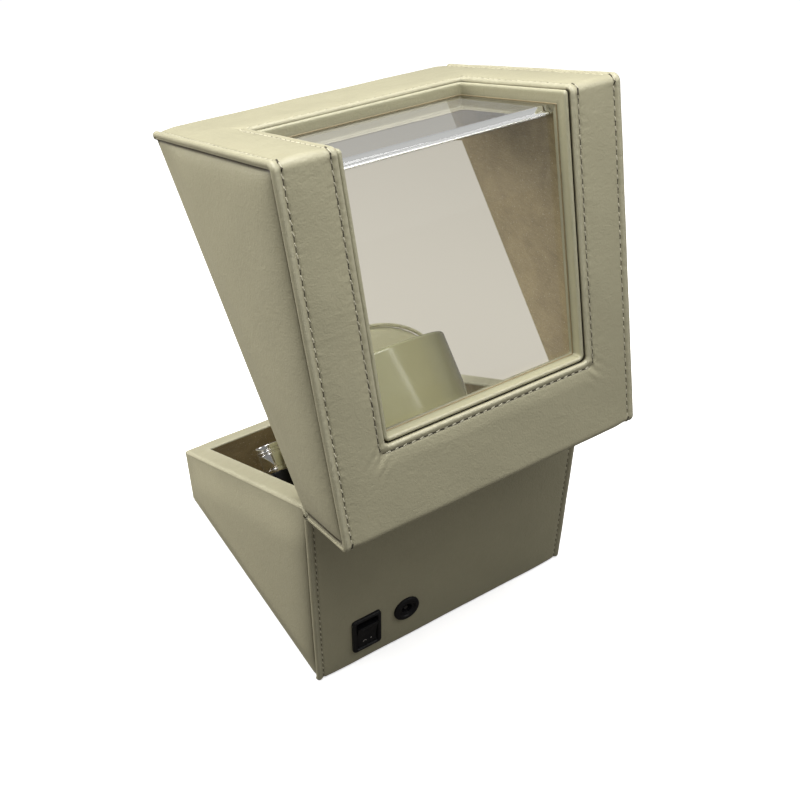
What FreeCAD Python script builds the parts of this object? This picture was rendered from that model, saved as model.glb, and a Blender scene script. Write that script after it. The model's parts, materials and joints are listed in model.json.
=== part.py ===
import FreeCAD, Part
import os
import Sketcher
from math import cos, pi, radians, sin, tan
from FreeCAD import Placement, Rotation, Vector

# Watch winder box: a leather-covered cube cut by a slanted parting plane into a base and a hinged lid.
# Frame: +Z up, +X to the right seen from the front, the front faces -Y, origin at the centre of the
# underside. The lid's pieces are drawn closed and then turned open about the hinge axis.

DRIVING = (
    # outer case
    ("width", 140.0, "outer width"),
    ("depth", 142.0, "outer depth"),
    ("height", 143.0, "outer height with the lid closed"),
    ("rim_mid", 72.0, "height of the parting plane halfway back"),
    ("rim_angle", 28.0, "slope of the parting plane, rising to the rear, degrees"),
    ("rim_gap", 0.3, "clearance each side of the parting plane"),
    ("hinge_inset", 4.5, "hinge axis inside the rear face"),
    ("base_bevel", 60.0, "rear bevel of the base below the parting plane, degrees"),
    ("lid_bevel", 15.0, "rear bevel of the lid above the parting plane, degrees"),
    ("lid_open", 75.0, "opening angle where the bevels meet, degrees"),
    # sheet and board thicknesses
    ("leather", 1.0, "leather skin"),
    ("lining", 0.8, "suede lining"),
    ("side_board", 8.0, "side boards"),
    ("front_board", 12.0, "front board of the base"),
    ("back_board", 14.0, "rear boards, thick enough for the hinge leaves"),
    ("lid_front", 8.0, "front board of the lid"),
    ("top_board", 8.0, "top board of the lid"),
    ("floor_board", 6.0, "floor board"),
    ("pad", 1.0, "felt pad under the floor"),
    ("pad_inset", 3.0, "felt pad inside the outer faces"),
    # window
    ("window_half", 47.5, "half width of the opening in the leather"),
    ("window_back", 35.5, "rear edge of the opening, from the middle"),
    ("window_low", 75.0, "lower edge of the opening in the front face"),
    ("window_lip", 0.8, "frame edge below the leather"),
    ("window_wall", 2.0, "thickness of the inner frame"),
    ("window_play", 0.3, "clearance around the frame and the pane"),
    ("pane_drop", 6.5, "pane below the leather"),
    ("pane", 3.0, "pane thickness"),
    # deck and drum
    ("deck_y", 18.5, "foot of the drum axis on the deck, along Y"),
    ("deck_z", 68.7, "foot of the drum axis on the deck, along Z"),
    ("deck_tilt", 45.0, "tilt of the drum axis towards the front, degrees"),
    ("deck_down", 81.0, "deck below the drum axis"),
    ("deck_rise", 36.0, "deck above the drum axis"),
    ("deck_board", 5.0, "deck board"),
    ("ledge_drop", 3.5, "rear ledge below the rim"),
    ("ledge", 4.0, "rear ledge thickness"),
    ("drum_radius", 45.0, "drum outer radius"),
    ("drum_wall", 3.5, "drum wall"),
    ("drum_foot", 4.0, "underside of the drum above the deck"),
    ("drum_floor", 3.0, "drum floor"),
    ("drum_rim", 42.0, "rim of the drum above the deck"),
    ("drum_round", 10.0, "outer radius of the drum's bottom edge"),
    ("shaft_radius", 3.0, "drum and selector shafts"),
    ("bush_radius", 6.0, "bush in the deck"),
    ("running", 0.05, "radial clearance of a running fit"),
    # watch pillow
    ("pillow_half", 35.0, "half width of the pillow"),
    ("pillow_rise", 24.5, "half height of the pillow"),
    ("pillow_mid", 33.0, "pillow centre above the deck"),
    ("pillow_span", 38.0, "length of the pillow between its end caps"),
    ("pillow_cap", 2.5, "end cap"),
    # gears
    ("drum_teeth", 48.0, "teeth of the drum gear"),
    ("pinion_teeth", 12.0, "teeth of the motor pinion"),
    ("module", 1.0, "gear module"),
    ("gear_face", 4.0, "face width of the gears"),
    ("gear_top", 9.0, "gear below the deck surface"),
    # motor and its plate
    ("motor_radius", 12.5, "motor radius"),
    ("motor_length", 20.0, "motor length"),
    ("plate_top", 16.0, "motor plate below the deck surface"),
    ("plate", 2.0, "motor plate thickness"),
    # selector knob
    ("knob_x", 44.0, "selector axis from the middle"),
    ("knob_down", 34.0, "selector axis below the drum axis, along the deck"),
    ("knob_radius", 6.0, "knob radius"),
    ("knob_length", 14.0, "knob length"),
    ("washer", 9.5, "boss under the knob"),
    # rear controls
    ("switch_x", 45.0, "switch centre"),
    ("switch_z", 19.5, "switch centre"),
    ("switch_wide", 15.0, "switch bezel width"),
    ("switch_tall", 21.0, "switch bezel height"),
    ("switch_proud", 1.8, "bezel above the leather"),
    ("jack_x", 23.4, "power inlet centre"),
    ("jack_z", 21.3, "power inlet centre"),
    ("jack_flange", 6.65, "power inlet flange radius"),
    ("jack_barrel", 4.0, "power inlet barrel radius"),
    ("jack_bore", 2.75, "power inlet bore radius"),
    # butt hinges
    ("hinge_x", 35.0, "hinge centre from the middle"),
    ("leaf_wide", 25.0, "leaf width"),
    ("leaf_deep", 11.0, "leaf depth from the axis"),
    ("leaf", 1.0, "leaf thickness"),
    ("knuckle", 2.0, "knuckle radius"),
    ("pin", 1.0, "hinge pin radius"),
    ("play", 0.2, "clearance of a piece in its pocket"),
)

doc = FreeCAD.newDocument("watch_winder_box")
sheet = doc.addObject("Spreadsheet::Sheet", "Dims")
for row, (alias, number, meaning) in enumerate(DRIVING, start=1):
    sheet.set(f"A{row}", meaning)
    sheet.set(f"B{row}", str(number))
    sheet.setAlias(f"B{row}", alias)
doc.recompute()

nodes = {}


def size(alias):
    """A driving dimension, read back from the sheet."""
    return float(sheet.get(alias))


# ---------------------------------------------------------------- expressions shared by the outlines

RIM = "Dims.rim_angle"
BASE_BEVEL = "(Dims.rim_angle - Dims.base_bevel)"
LID_BEVEL = "(Dims.rim_angle + Dims.lid_bevel)"
OUT_X = "(Dims.width / 2)"
WALL_X = "(Dims.width / 2 - Dims.leather)"
ROOM_X = "(Dims.width / 2 - Dims.leather - Dims.side_board)"
LINED_X = "(Dims.width / 2 - Dims.leather - Dims.side_board - Dims.lining)"
OUT_Y = "(Dims.depth / 2)"
WALL_Y = "(Dims.depth / 2 - Dims.leather)"
ROOM_BACK = "(Dims.depth / 2 - Dims.leather - Dims.back_board)"
ROOM_FRONT = "(Dims.front_board + Dims.leather - Dims.depth / 2)"
LID_FRONT = "(Dims.lid_front + Dims.leather - Dims.depth / 2)"
FLOOR_TOP = "(Dims.pad + Dims.floor_board)"
TOP = "Dims.height"
TOP_WALL = "(Dims.height - Dims.leather)"
TOP_ROOM = "(Dims.height - Dims.leather - Dims.top_board)"
LINED_FRONT = "(Dims.front_board + Dims.leather + Dims.lining - Dims.depth / 2)"
LID_LINED_FRONT = "(Dims.lid_front + Dims.leather + Dims.lining - Dims.depth / 2)"
LINED_BACK = "(Dims.depth / 2 - Dims.leather - Dims.back_board - Dims.lining)"
LINED_TOP = "(Dims.height - Dims.leather - Dims.top_board - Dims.lining)"
NOTCH_X = "(Dims.window_half + Dims.window_play)"
HINGE_Y = "(Dims.depth / 2 - Dims.hinge_inset)"
UNDER_SKIN = "(-Dims.rim_gap - Dims.leather)"
OVER_SKIN = "(Dims.rim_gap + Dims.leather)"


def rim_z(y, offset):
    """Height of a line parallel to the parting plane, offset square to it."""
    return f"(Dims.rim_mid + ({y}) * tan({RIM}) + ({offset}) / cos({RIM}))"


HINGE_Z = rim_z(HINGE_Y, "0")


def bevel_z(y, offset, bevel):
    """Height of a line parallel to a rear bevel, which starts at the hinge axis."""
    return f"({HINGE_Z} + (({y}) - {HINGE_Y}) * tan({bevel}) + ({offset}) / cos({bevel}))"


def bevel_corner(offset, bevel):
    """Where the offset parting line and the offset bevel line meet."""
    shift = f"({offset}) * (1 / cos({bevel}) - 1 / cos({RIM})) / (tan({RIM}) - tan({bevel}))"
    y = f"({HINGE_Y} + {shift})"
    return y, rim_z(y, offset)


# ---------------------------------------------------------------- places

HALF_TURN = 180.0
QUARTER_TURN = 90.0
X_AXIS = Vector(1, 0, 0)
Y_AXIS = Vector(0, 1, 0)
HINGE_AT_Y = size("depth") / 2 - size("hinge_inset")
HINGE_AT_Z = size("rim_mid") + HINGE_AT_Y * tan(radians(size("rim_angle")))
HINGE = Vector(0, HINGE_AT_Y, HINGE_AT_Z)
OPENED = Placement(Vector(), Rotation(X_AXIS, -size("lid_open")), HINGE)
TILT = Rotation(X_AXIS, size("deck_tilt"))
DECK_UP = TILT.multVec(Vector(0, 1, 0))
DRUM_AXIS = TILT.multVec(Vector(0, 0, 1))
DECK_FOOT = Vector(0, size("deck_y"), size("deck_z"))


def on_deck(x, up, out, spin=0.0):
    """A placement on the deck: x across, up the slope, out along the drum axis."""
    where = DECK_FOOT + X_AXIS * x + DECK_UP * up + DRUM_AXIS * out
    return Placement(where, TILT * Rotation(Vector(0, 0, 1), spin))


def at(x, y, z):
    return Placement(Vector(x, y, z), Rotation())


# ---------------------------------------------------------------- builders


def new_body(label):
    body = doc.addObject("PartDesign::Body", label)
    body.Label = label
    return body


def origin_part(body, role):
    return next(part for part in body.Origin.OriginFeatures if part.Role == role)


def bind(sketch, kind, geometry, point, text):
    index = sketch.addConstraint(Sketcher.Constraint(kind, -1, 1, geometry, point, 1.0))
    sketch.setExpression(f"Constraints[{index}]", text)


def outline(body, role, points):
    """A closed polygon sketched on one of the body's origin planes, each corner placed by two expressions."""
    sketch = body.newObject("Sketcher::SketchObject", body.Name + "_outline")
    sketch.AttachmentSupport = [(origin_part(body, role), "")]
    sketch.MapMode = "FlatFace"
    count = len(points)
    spread = [Vector(cos(2 * pi * k / count), sin(2 * pi * k / count), 0) for k in range(count)]
    for k in range(count):
        sketch.addGeometry(Part.LineSegment(spread[k], spread[(k + 1) % count]), False)
    for k in range(count):
        sketch.addConstraint(Sketcher.Constraint("Coincident", k, 2, (k + 1) % count, 1))
    for k, (across, up) in enumerate(points):
        bind(sketch, "DistanceX", k, 1, across)
        bind(sketch, "DistanceY", k, 1, up)
    return sketch


def ring(body, role, radius):
    """A circle about the origin of one of the body's origin planes."""
    sketch = body.newObject("Sketcher::SketchObject", body.Name + "_ring")
    sketch.AttachmentSupport = [(origin_part(body, role), "")]
    sketch.MapMode = "FlatFace"
    sketch.addGeometry(Part.Circle(Vector(), Vector(0, 0, 1), 1.0), False)
    sketch.addConstraint(Sketcher.Constraint("Coincident", 0, 3, -1, 1))
    index = sketch.addConstraint(Sketcher.Constraint("Radius", 0, 1.0))
    sketch.setExpression(f"Constraints[{index}]", radius)
    return sketch


def extrude(body, kind, sketch, length, symmetric=False):
    feature = body.newObject("PartDesign::" + kind, body.Name + "_" + kind.lower())
    feature.Profile = sketch
    feature.setExpression("Length", length)
    feature.SideType = "Symmetric" if symmetric else "One side"
    doc.recompute()
    return feature


def slab(label, points, length, x=None):
    """A sheet or board with its outline in the YZ plane: centred on X = 0, or starting at x."""
    body = new_body(label)
    extrude(body, "Pad", outline(body, "YZ_Plane", points), length, symmetric=x is None)
    if x is not None:
        body.Placement = at(x, 0, 0)
    return body


def cut_through(body, role, points):
    """Cuts an outline right through the body, both ways from its sketch."""
    before = body.Shape.Volume
    extrude(body, "Pocket", outline(body, role, points), "4 * Dims.height", symmetric=True)
    if body.Shape.Volume >= before:
        raise RuntimeError(body.Label + ": the cut removed nothing")
    return body


def lathe(label, points):
    """A body of revolution about Z from a half section given as (radius, height) expressions."""
    body = new_body(label)
    sketch = outline(body, "XZ_Plane", points)
    turned = body.newObject("PartDesign::Revolution", label + "_turned")
    turned.Profile = sketch
    turned.ReferenceAxis = (sketch, ["V_Axis"])
    turned.Angle = 360.0
    doc.recompute()
    return body


def box(name, length, width, height, where):
    solid = doc.addObject("Part::Box", name)
    solid.setExpression("Length", length)
    solid.setExpression("Width", width)
    solid.setExpression("Height", height)
    solid.Placement = where
    return solid


def cylinder(name, radius, height, where):
    solid = doc.addObject("Part::Cylinder", name)
    solid.setExpression("Radius", radius)
    solid.setExpression("Height", height)
    solid.Placement = where
    return solid


def cone(name, low, high, height, where):
    solid = doc.addObject("Part::Cone", name)
    solid.setExpression("Radius1", low)
    solid.setExpression("Radius2", high)
    solid.setExpression("Height", height)
    solid.Placement = where
    return solid


def fuse(name, parts):
    joined = doc.addObject("Part::MultiFuse", name)
    joined.Shapes = parts
    doc.recompute()
    return joined


def cut(name, base, tools):
    result = doc.addObject("Part::Cut", name)
    result.Base = base
    result.Tool = tools[0] if len(tools) == 1 else fuse(name + "_tools", tools)
    doc.recompute()
    if result.Shape.Volume >= base.Shape.Volume:
        raise RuntimeError(name + ": the cut removed nothing")
    return result


def group(name, parts):
    """Identical pieces that share one node, as separate solids."""
    together = doc.addObject("Part::Compound", name)
    together.Links = parts
    doc.recompute()
    return together


def rounded(name, base, rounds):
    """Rounds the circular edges found at each (radius, height) of an upright turned solid."""
    doc.recompute()
    edges = []
    for index, edge in enumerate(base.Shape.Edges, start=1):
        if not isinstance(edge.Curve, Part.Circle):
            continue
        for radius, height, fillet in rounds:
            same_radius = abs(edge.Curve.Radius - radius) < 1e-6
            if same_radius and abs(edge.Curve.Center.z - height) < 1e-6:
                edges.append((index, fillet, fillet))
    if len(edges) != len(rounds):
        raise RuntimeError(name + ": an edge to round was not found")
    result = doc.addObject("Part::Fillet", name)
    result.Base = base
    result.Edges = edges
    doc.recompute()
    return result


def keep(label, solid, in_lid=False):
    """Names a finished sub-part, and turns a piece of the lid open."""
    solid.Label = label
    if in_lid:
        solid.Placement = OPENED * solid.Placement
    nodes[label] = solid
    return solid


# ---------------------------------------------------------------- small sizes used in one place only

FIT = 0.1  # clearance around a screw or a switch body
CUTOUT_WIDE = 13.2  # switch cut-out
CUTOUT_TALL = 19.2
DRILL = 30.0  # tool long enough to pass the rear wall
THIN_WALL = 3.0  # rear board left behind the switch and the inlet
RECESS_WIDE = 20.0
RECESS_TALL = 24.0
NUT_RECESS = 8.0
SWITCH_DEEP = 18.0
TERMINAL = 5.0
TERMINAL_GAP = 5.0
ROCKER_WIDE = 10.4
ROCKER_TALL = 15.0
ROCKER_WELL = 17.2
ROCKER_ROOM = 9.0
ROCKER_SUNK = 3.0  # rocker axis behind the leather
ROCKER_PROUD = 5.6
ROCKER_DISH = 1.0
ROCKER_TILT = 8.0
PIVOT = 1.0  # radius of the rocker's pivots
PIVOT_REACH = 0.8  # pivots into the switch body
JACK_PROUD = 1.6
JACK_DEEP = 13.0
INLET_PIN = 1.0
NUT_WALL = 2.4
NUT_TALL = 2.5
COLLAR = 1.5  # wall of the selector's threaded collar
LEDGE_START = 2.6
LEDGE_CANT = 2.9
ADDENDUM = 0.9
DEDENDUM = 1.2
TOOTH_SINK = 0.3
TOOTH_WIDTH = 1.3  # at the pitch circle, which leaves backlash
FLANK = radians(20.0)
MOTOR_SHAFT = 1.5
SHAFT_SEAT = 6.0  # how far the motor's shaft runs inside it
MOTOR_BOSS = 4.0
HUB = 9.0  # hub under the drum
PLATE_WIDE = 34.0
PLATE_TALL = 54.0
POST_INSET = 3.5
POST = 2.5
GROOVE = 0.5
SET_SCREW = 1.25
SET_SCREW_UP = 3.2
SET_SCREW_TURN = 60.0
SELECTOR_BODY = 14.0
SELECTOR_DEEP = 9.0
SELECTOR_SEAT = 5.0  # how far the selector's shaft runs inside it
BOARD_X = -38.0
BOARD_Y = 2.0
BOARD_WIDE = 48.0
BOARD_DEEP = 34.0
BOARD = 1.6
BOARD_POST = 4.0
BOARD_EDGE = 3.5
PLUG_X = 0.0
PLUG_Y = 12.0
PLUG = (5.0, 12.0, 6.0)
LEAD = 0.9  # radius of a two-core lead
LEAD_STRAIGHT = 8.0  # straight run into the plug
KNUCKLES = 5
KNUCKLE_GAP = 0.1
LEAF_SCREW = 1.0
LEAF_SCREW_LENGTH = 7.0
SCREW_SPREAD = 7.5
SCREW_BACK = 6.8

# ---------------------------------------------------------------- screws


def screw(name, radius, length, where):
    """A countersunk screw: its head is flush at the placement's origin and its point is along -Z."""
    sunk = radius
    tip = radius
    head = cone(name + "_head", str(radius), str(2 * radius), str(sunk), at(0, 0, -sunk))
    stem = cylinder(name + "_stem", str(radius), str(length - sunk - tip), at(0, 0, tip - length))
    point = cone(name + "_point", str(radius / 4), str(radius), str(tip), at(0, 0, -length))
    whole = fuse(name, [head, stem, point])
    whole.Placement = where
    return whole


def countersink(name, radius, depth, where):
    """The hole that such a screw sits in, through a plate of the given depth."""
    mouth = cone(name + "_mouth", str(radius + FIT), str(2 * radius + FIT), str(radius), at(0, 0, -radius))
    hole = cylinder(name + "_hole", str(radius + FIT), str(depth), at(0, 0, -depth))
    whole = fuse(name, [mouth, hole])
    whole.Placement = where
    return whole


def leaf_screw_places(side):
    """A leaf screw's head is flush with the leaf's open face, and it points into the board."""
    lean = Rotation(X_AXIS, size("rim_angle"))
    facing = lean if side < 0 else lean * Rotation(X_AXIS, HALF_TURN)
    places = []
    for centre in (-size("hinge_x"), size("hinge_x")):
        for x in (centre - SCREW_SPREAD, centre + SCREW_SPREAD):
            offset = Vector(x, -SCREW_BACK, side * size("rim_gap"))
            places.append(Placement(HINGE + lean.multVec(offset), facing))
    return places


def leaf_screws(name, side):
    """The four screws of one side's leaves: -1 for the base, +1 for the lid."""
    return [
        screw(f"{name}_{index}", LEAF_SCREW, LEAF_SCREW_LENGTH, where)
        for index, where in enumerate(leaf_screw_places(side))
    ]


# ---------------------------------------------------------------- base case


def rectangle(half_x, low, high):
    return ((f"(-{half_x})", low), (half_x, low), (half_x, high), (f"(-{half_x})", high))


def base_side(name, x, thickness):
    corner = bevel_corner(UNDER_SKIN, BASE_BEVEL)
    front = f"(-{WALL_Y})"
    points = (
        (front, "Dims.pad"),
        (WALL_Y, "Dims.pad"),
        (WALL_Y, bevel_z(WALL_Y, UNDER_SKIN, BASE_BEVEL)),
        corner,
        (front, rim_z(front, UNDER_SKIN)),
    )
    return slab(name, points, thickness, x)


def knuckle_grooves(name):
    """Round grooves along the hinge axis that clear the knuckles."""
    wide = size("leaf_wide") + 2 * size("play")
    bars = []
    for side in (-1, 1):
        start = HINGE + X_AXIS * (side * size("hinge_x") - wide / 2)
        along_x = Placement(start, Rotation(Y_AXIS, QUARTER_TURN))
        radius = "Dims.knuckle + 2 * Dims.play"
        bars.append(cylinder(f"{name}_{side + 1}", radius, "Dims.leaf_wide + 2 * Dims.play", along_x))
    return bars


def leaf_mortises(name):
    """The places cut out of a rim leather for the hinge leaves and their knuckles."""
    lean = Rotation(X_AXIS, size("rim_angle"))
    wide = size("leaf_wide") + 2 * size("play")
    tall = 4 * size("knuckle")
    blocks = []
    for side in (-1, 1):
        corner = Vector(side * size("hinge_x") - wide / 2, -size("leaf_deep") - size("play"), -tall / 2)
        where = Placement(HINGE + lean.multVec(corner), lean)
        deep = "Dims.leaf_deep + Dims.knuckle + 3 * Dims.play"
        blocks.append(
            box(f"{name}_{side + 1}", "Dims.leaf_wide + 2 * Dims.play", deep, "4 * Dims.knuckle", where)
        )
    return blocks


def control_holes(name):
    """The switch cut-out and the hole for the power inlet, right through the rear wall."""
    back = size("depth") / 2 + 1
    opening = at(size("switch_x") - CUTOUT_WIDE / 2, back - DRILL, size("switch_z") - CUTOUT_TALL / 2)
    window = box(name + "_switch", str(CUTOUT_WIDE), str(DRILL), str(CUTOUT_TALL), opening)
    inward = Placement(Vector(size("jack_x"), back, size("jack_z")), Rotation(X_AXIS, QUARTER_TURN))
    hole = cylinder(name + "_inlet", "Dims.jack_barrel + Dims.play", str(DRILL), inward)
    return [window, hole]


def control_recesses(name):
    """Pockets inside the rear board, which leave it thin enough for the switch and the inlet's nut."""
    inner = size("depth") / 2 - size("leather") - size("back_board") - 1
    deep = size("back_board") - THIN_WALL + 1
    corner = at(size("switch_x") - RECESS_WIDE / 2, inner, size("switch_z") - RECESS_TALL / 2)
    pocket = box(name + "_switch", str(RECESS_WIDE), str(deep), str(RECESS_TALL), corner)
    outward = Placement(Vector(size("jack_x"), inner, size("jack_z")), Rotation(X_AXIS, -QUARTER_TURN))
    bore = cylinder(name + "_inlet", str(NUT_RECESS), str(deep), outward)
    return [pocket, bore]


def make_base_case():
    wall_x = size("width") / 2 - size("leather")
    room_x = wall_x - size("side_board")
    inset = size("pad_inset")
    sheet_wide = "Dims.width - 2 * Dims.pad_inset"
    sheet_deep = "Dims.depth - 2 * Dims.pad_inset"
    corner = at(inset - size("width") / 2, inset - size("depth") / 2, 0)
    keep("underside_pad", box("pad_sheet", sheet_wide, sheet_deep, "Dims.pad", corner))
    floor = (
        (ROOM_FRONT, "Dims.pad"),
        (ROOM_BACK, "Dims.pad"),
        (ROOM_BACK, FLOOR_TOP),
        (ROOM_FRONT, FLOOR_TOP),
    )
    keep("floor_board", slab("floor_board", floor, f"2 * {ROOM_X}"))
    keep("base_left_board", base_side("base_left_board", -wall_x, "Dims.side_board"))
    keep("base_right_board", base_side("base_right_board", room_x, "Dims.side_board"))
    skins = [
        base_side("base_left_skin", -size("width") / 2, "Dims.leather"),
        base_side("base_right_skin", wall_x, "Dims.leather"),
    ]
    keep("base_side_leathers", group("base_skin_group", skins))

    front = f"(-{WALL_Y})"
    out = f"(-{OUT_Y})"
    front_board = (
        (front, "Dims.pad"),
        (ROOM_FRONT, "Dims.pad"),
        (ROOM_FRONT, rim_z(ROOM_FRONT, UNDER_SKIN)),
        (front, rim_z(front, UNDER_SKIN)),
    )
    keep("base_front_board", slab("base_front_board", front_board, f"2 * {ROOM_X}"))
    front_leather = (
        (out, "Dims.pad"),
        (front, "Dims.pad"),
        (front, rim_z(front, UNDER_SKIN)),
        (out, rim_z(out, UNDER_SKIN)),
    )
    keep("base_front_leather", slab("base_front_leather", front_leather, "Dims.width"))

    corner = bevel_corner(UNDER_SKIN, BASE_BEVEL)
    rear_board = (
        (ROOM_BACK, "Dims.pad"),
        (WALL_Y, "Dims.pad"),
        (WALL_Y, bevel_z(WALL_Y, UNDER_SKIN, BASE_BEVEL)),
        corner,
        (ROOM_BACK, rim_z(ROOM_BACK, UNDER_SKIN)),
    )
    blank = slab("base_rear_board_blank", rear_board, f"2 * {ROOM_X}")
    tools = control_holes("board_hole") + control_recesses("board_recess")
    tools += knuckle_grooves("base_groove") + leaf_screws("base_pilot", -1)
    keep("base_rear_board", cut("base_rear_board_cut", blank, tools))
    rear_leather = (
        (WALL_Y, "Dims.pad"),
        (OUT_Y, "Dims.pad"),
        (OUT_Y, bevel_z(OUT_Y, UNDER_SKIN, BASE_BEVEL)),
        (WALL_Y, bevel_z(WALL_Y, UNDER_SKIN, BASE_BEVEL)),
    )
    blank = slab("base_rear_leather_blank", rear_leather, "Dims.width")
    keep("base_rear_leather", cut("base_rear_leather_cut", blank, control_holes("leather_hole")))

    rim = (
        (out, rim_z(out, "(-Dims.rim_gap)")),
        bevel_corner("(-Dims.rim_gap)", BASE_BEVEL),
        (OUT_Y, bevel_z(OUT_Y, "(-Dims.rim_gap)", BASE_BEVEL)),
        (OUT_Y, bevel_z(OUT_Y, UNDER_SKIN, BASE_BEVEL)),
        corner,
        (out, rim_z(out, UNDER_SKIN)),
    )
    blank = slab("base_rim_leather_blank", rim, "Dims.width")
    cut_through(blank, "XY_Plane", rectangle(LINED_X, LINED_FRONT, ROOM_BACK))
    keep("base_rim_leather", cut("base_rim_leather_cut", blank, leaf_mortises("base_mortise")))


def make_base_linings():
    room_x = size("width") / 2 - size("leather") - size("side_board")
    side_lining = (
        (ROOM_FRONT, FLOOR_TOP),
        (ROOM_BACK, FLOOR_TOP),
        (ROOM_BACK, rim_z(ROOM_BACK, UNDER_SKIN)),
        (ROOM_FRONT, rim_z(ROOM_FRONT, UNDER_SKIN)),
    )
    sheets = [
        slab("base_left_sheet", side_lining, "Dims.lining", -room_x),
        slab("base_right_sheet", side_lining, "Dims.lining", room_x - size("lining")),
    ]
    keep("base_side_linings", group("base_lining_group", sheets))
    front_lining = (
        (ROOM_FRONT, FLOOR_TOP),
        (LINED_FRONT, FLOOR_TOP),
        (LINED_FRONT, rim_z(LINED_FRONT, UNDER_SKIN)),
        (ROOM_FRONT, rim_z(ROOM_FRONT, UNDER_SKIN)),
    )
    keep("base_front_lining", slab("base_front_lining", front_lining, f"2 * {LINED_X}"))
    well_back = "(Dims.deck_y - (Dims.deck_down + 1) * cos(Dims.deck_tilt))"
    well_lining = (
        (LINED_FRONT, FLOOR_TOP),
        (well_back, FLOOR_TOP),
        (well_back, f"{FLOOR_TOP} + Dims.lining"),
        (LINED_FRONT, f"{FLOOR_TOP} + Dims.lining"),
    )
    keep("well_lining", slab("well_lining", well_lining, f"2 * {LINED_X}"))


# ---------------------------------------------------------------- deck, gears and motor


def deck_holes(name):
    """The holes through the deck for the drum's bush and the selector's shaft."""
    tall = str(3 * size("deck_board"))
    low = -2 * size("deck_board")
    bush = cylinder(name + "_bush", "Dims.bush_radius", tall, on_deck(0, 0, low))
    knob_at = on_deck(size("knob_x"), -size("knob_down"), low)
    shaft = cylinder(name + "_selector", f"Dims.shaft_radius + {COLLAR}", tall, knob_at)
    return [bush, shaft]


def make_deck():
    lined_x = size("width") / 2 - size("leather") - size("side_board") - size("lining")
    long = "Dims.deck_down + Dims.deck_rise"
    where = on_deck(-lined_x, -size("deck_down"), -size("lining"))
    blank = box("deck_cover_blank", f"2 * {LINED_X}", long, "Dims.lining", where)
    keep("deck_cover", cut("deck_cover_cut", blank, deck_holes("cover_hole")))
    where = on_deck(-lined_x, -size("deck_down"), -size("lining") - size("deck_board"))
    blank = box("deck_board_blank", f"2 * {LINED_X}", long, "Dims.deck_board", where)
    keep("deck_board", cut("deck_board_cut", blank, deck_holes("board_bore")))

    top = "(-Dims.ledge_drop)"
    foot = "(-Dims.ledge_drop - Dims.ledge)"
    start = f"(Dims.deck_y + Dims.deck_rise * cos(Dims.deck_tilt) + {LEDGE_START})"
    lower_start = f"({start} + {LEDGE_CANT})"
    ledge = (
        (start, rim_z(start, top)),
        (ROOM_BACK, rim_z(ROOM_BACK, top)),
        (ROOM_BACK, rim_z(ROOM_BACK, foot)),
        (lower_start, rim_z(lower_start, foot)),
    )
    keep("rear_ledge", slab("rear_ledge", ledge, f"2 * {LINED_X}"))


def gear(label, teeth):
    """A spur gear with straight-sided teeth, one tooth pointing along +X."""
    body = new_body(label)
    root = f"(Dims.module * (Dims.{teeth} / 2 - {DEDENDUM}))"
    tip = f"(Dims.module * (Dims.{teeth} / 2 + {ADDENDUM}))"
    extrude(body, "Pad", ring(body, "XY_Plane", root), "Dims.gear_face")
    foot = f"({root} - {TOOTH_SINK} * Dims.module)"
    wide = f"(Dims.module * {(TOOTH_WIDTH + 2 * DEDENDUM * tan(FLANK)) / 2})"
    narrow = f"(Dims.module * {(TOOTH_WIDTH - 2 * ADDENDUM * tan(FLANK)) / 2})"
    tooth = ((foot, f"(-{wide})"), (tip, f"(-{narrow})"), (tip, narrow), (foot, wide))
    pad = extrude(body, "Pad", outline(body, "XY_Plane", tooth), "Dims.gear_face")
    pattern = body.newObject("PartDesign::PolarPattern", label + "_teeth")
    pattern.Originals = [pad]
    pattern.Axis = (origin_part(body, "Z_Axis"), [""])
    pattern.Angle = 360.0
    pattern.setExpression("Occurrences", f"Dims.{teeth}")
    body.Tip = pattern
    doc.recompute()
    return body


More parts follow.
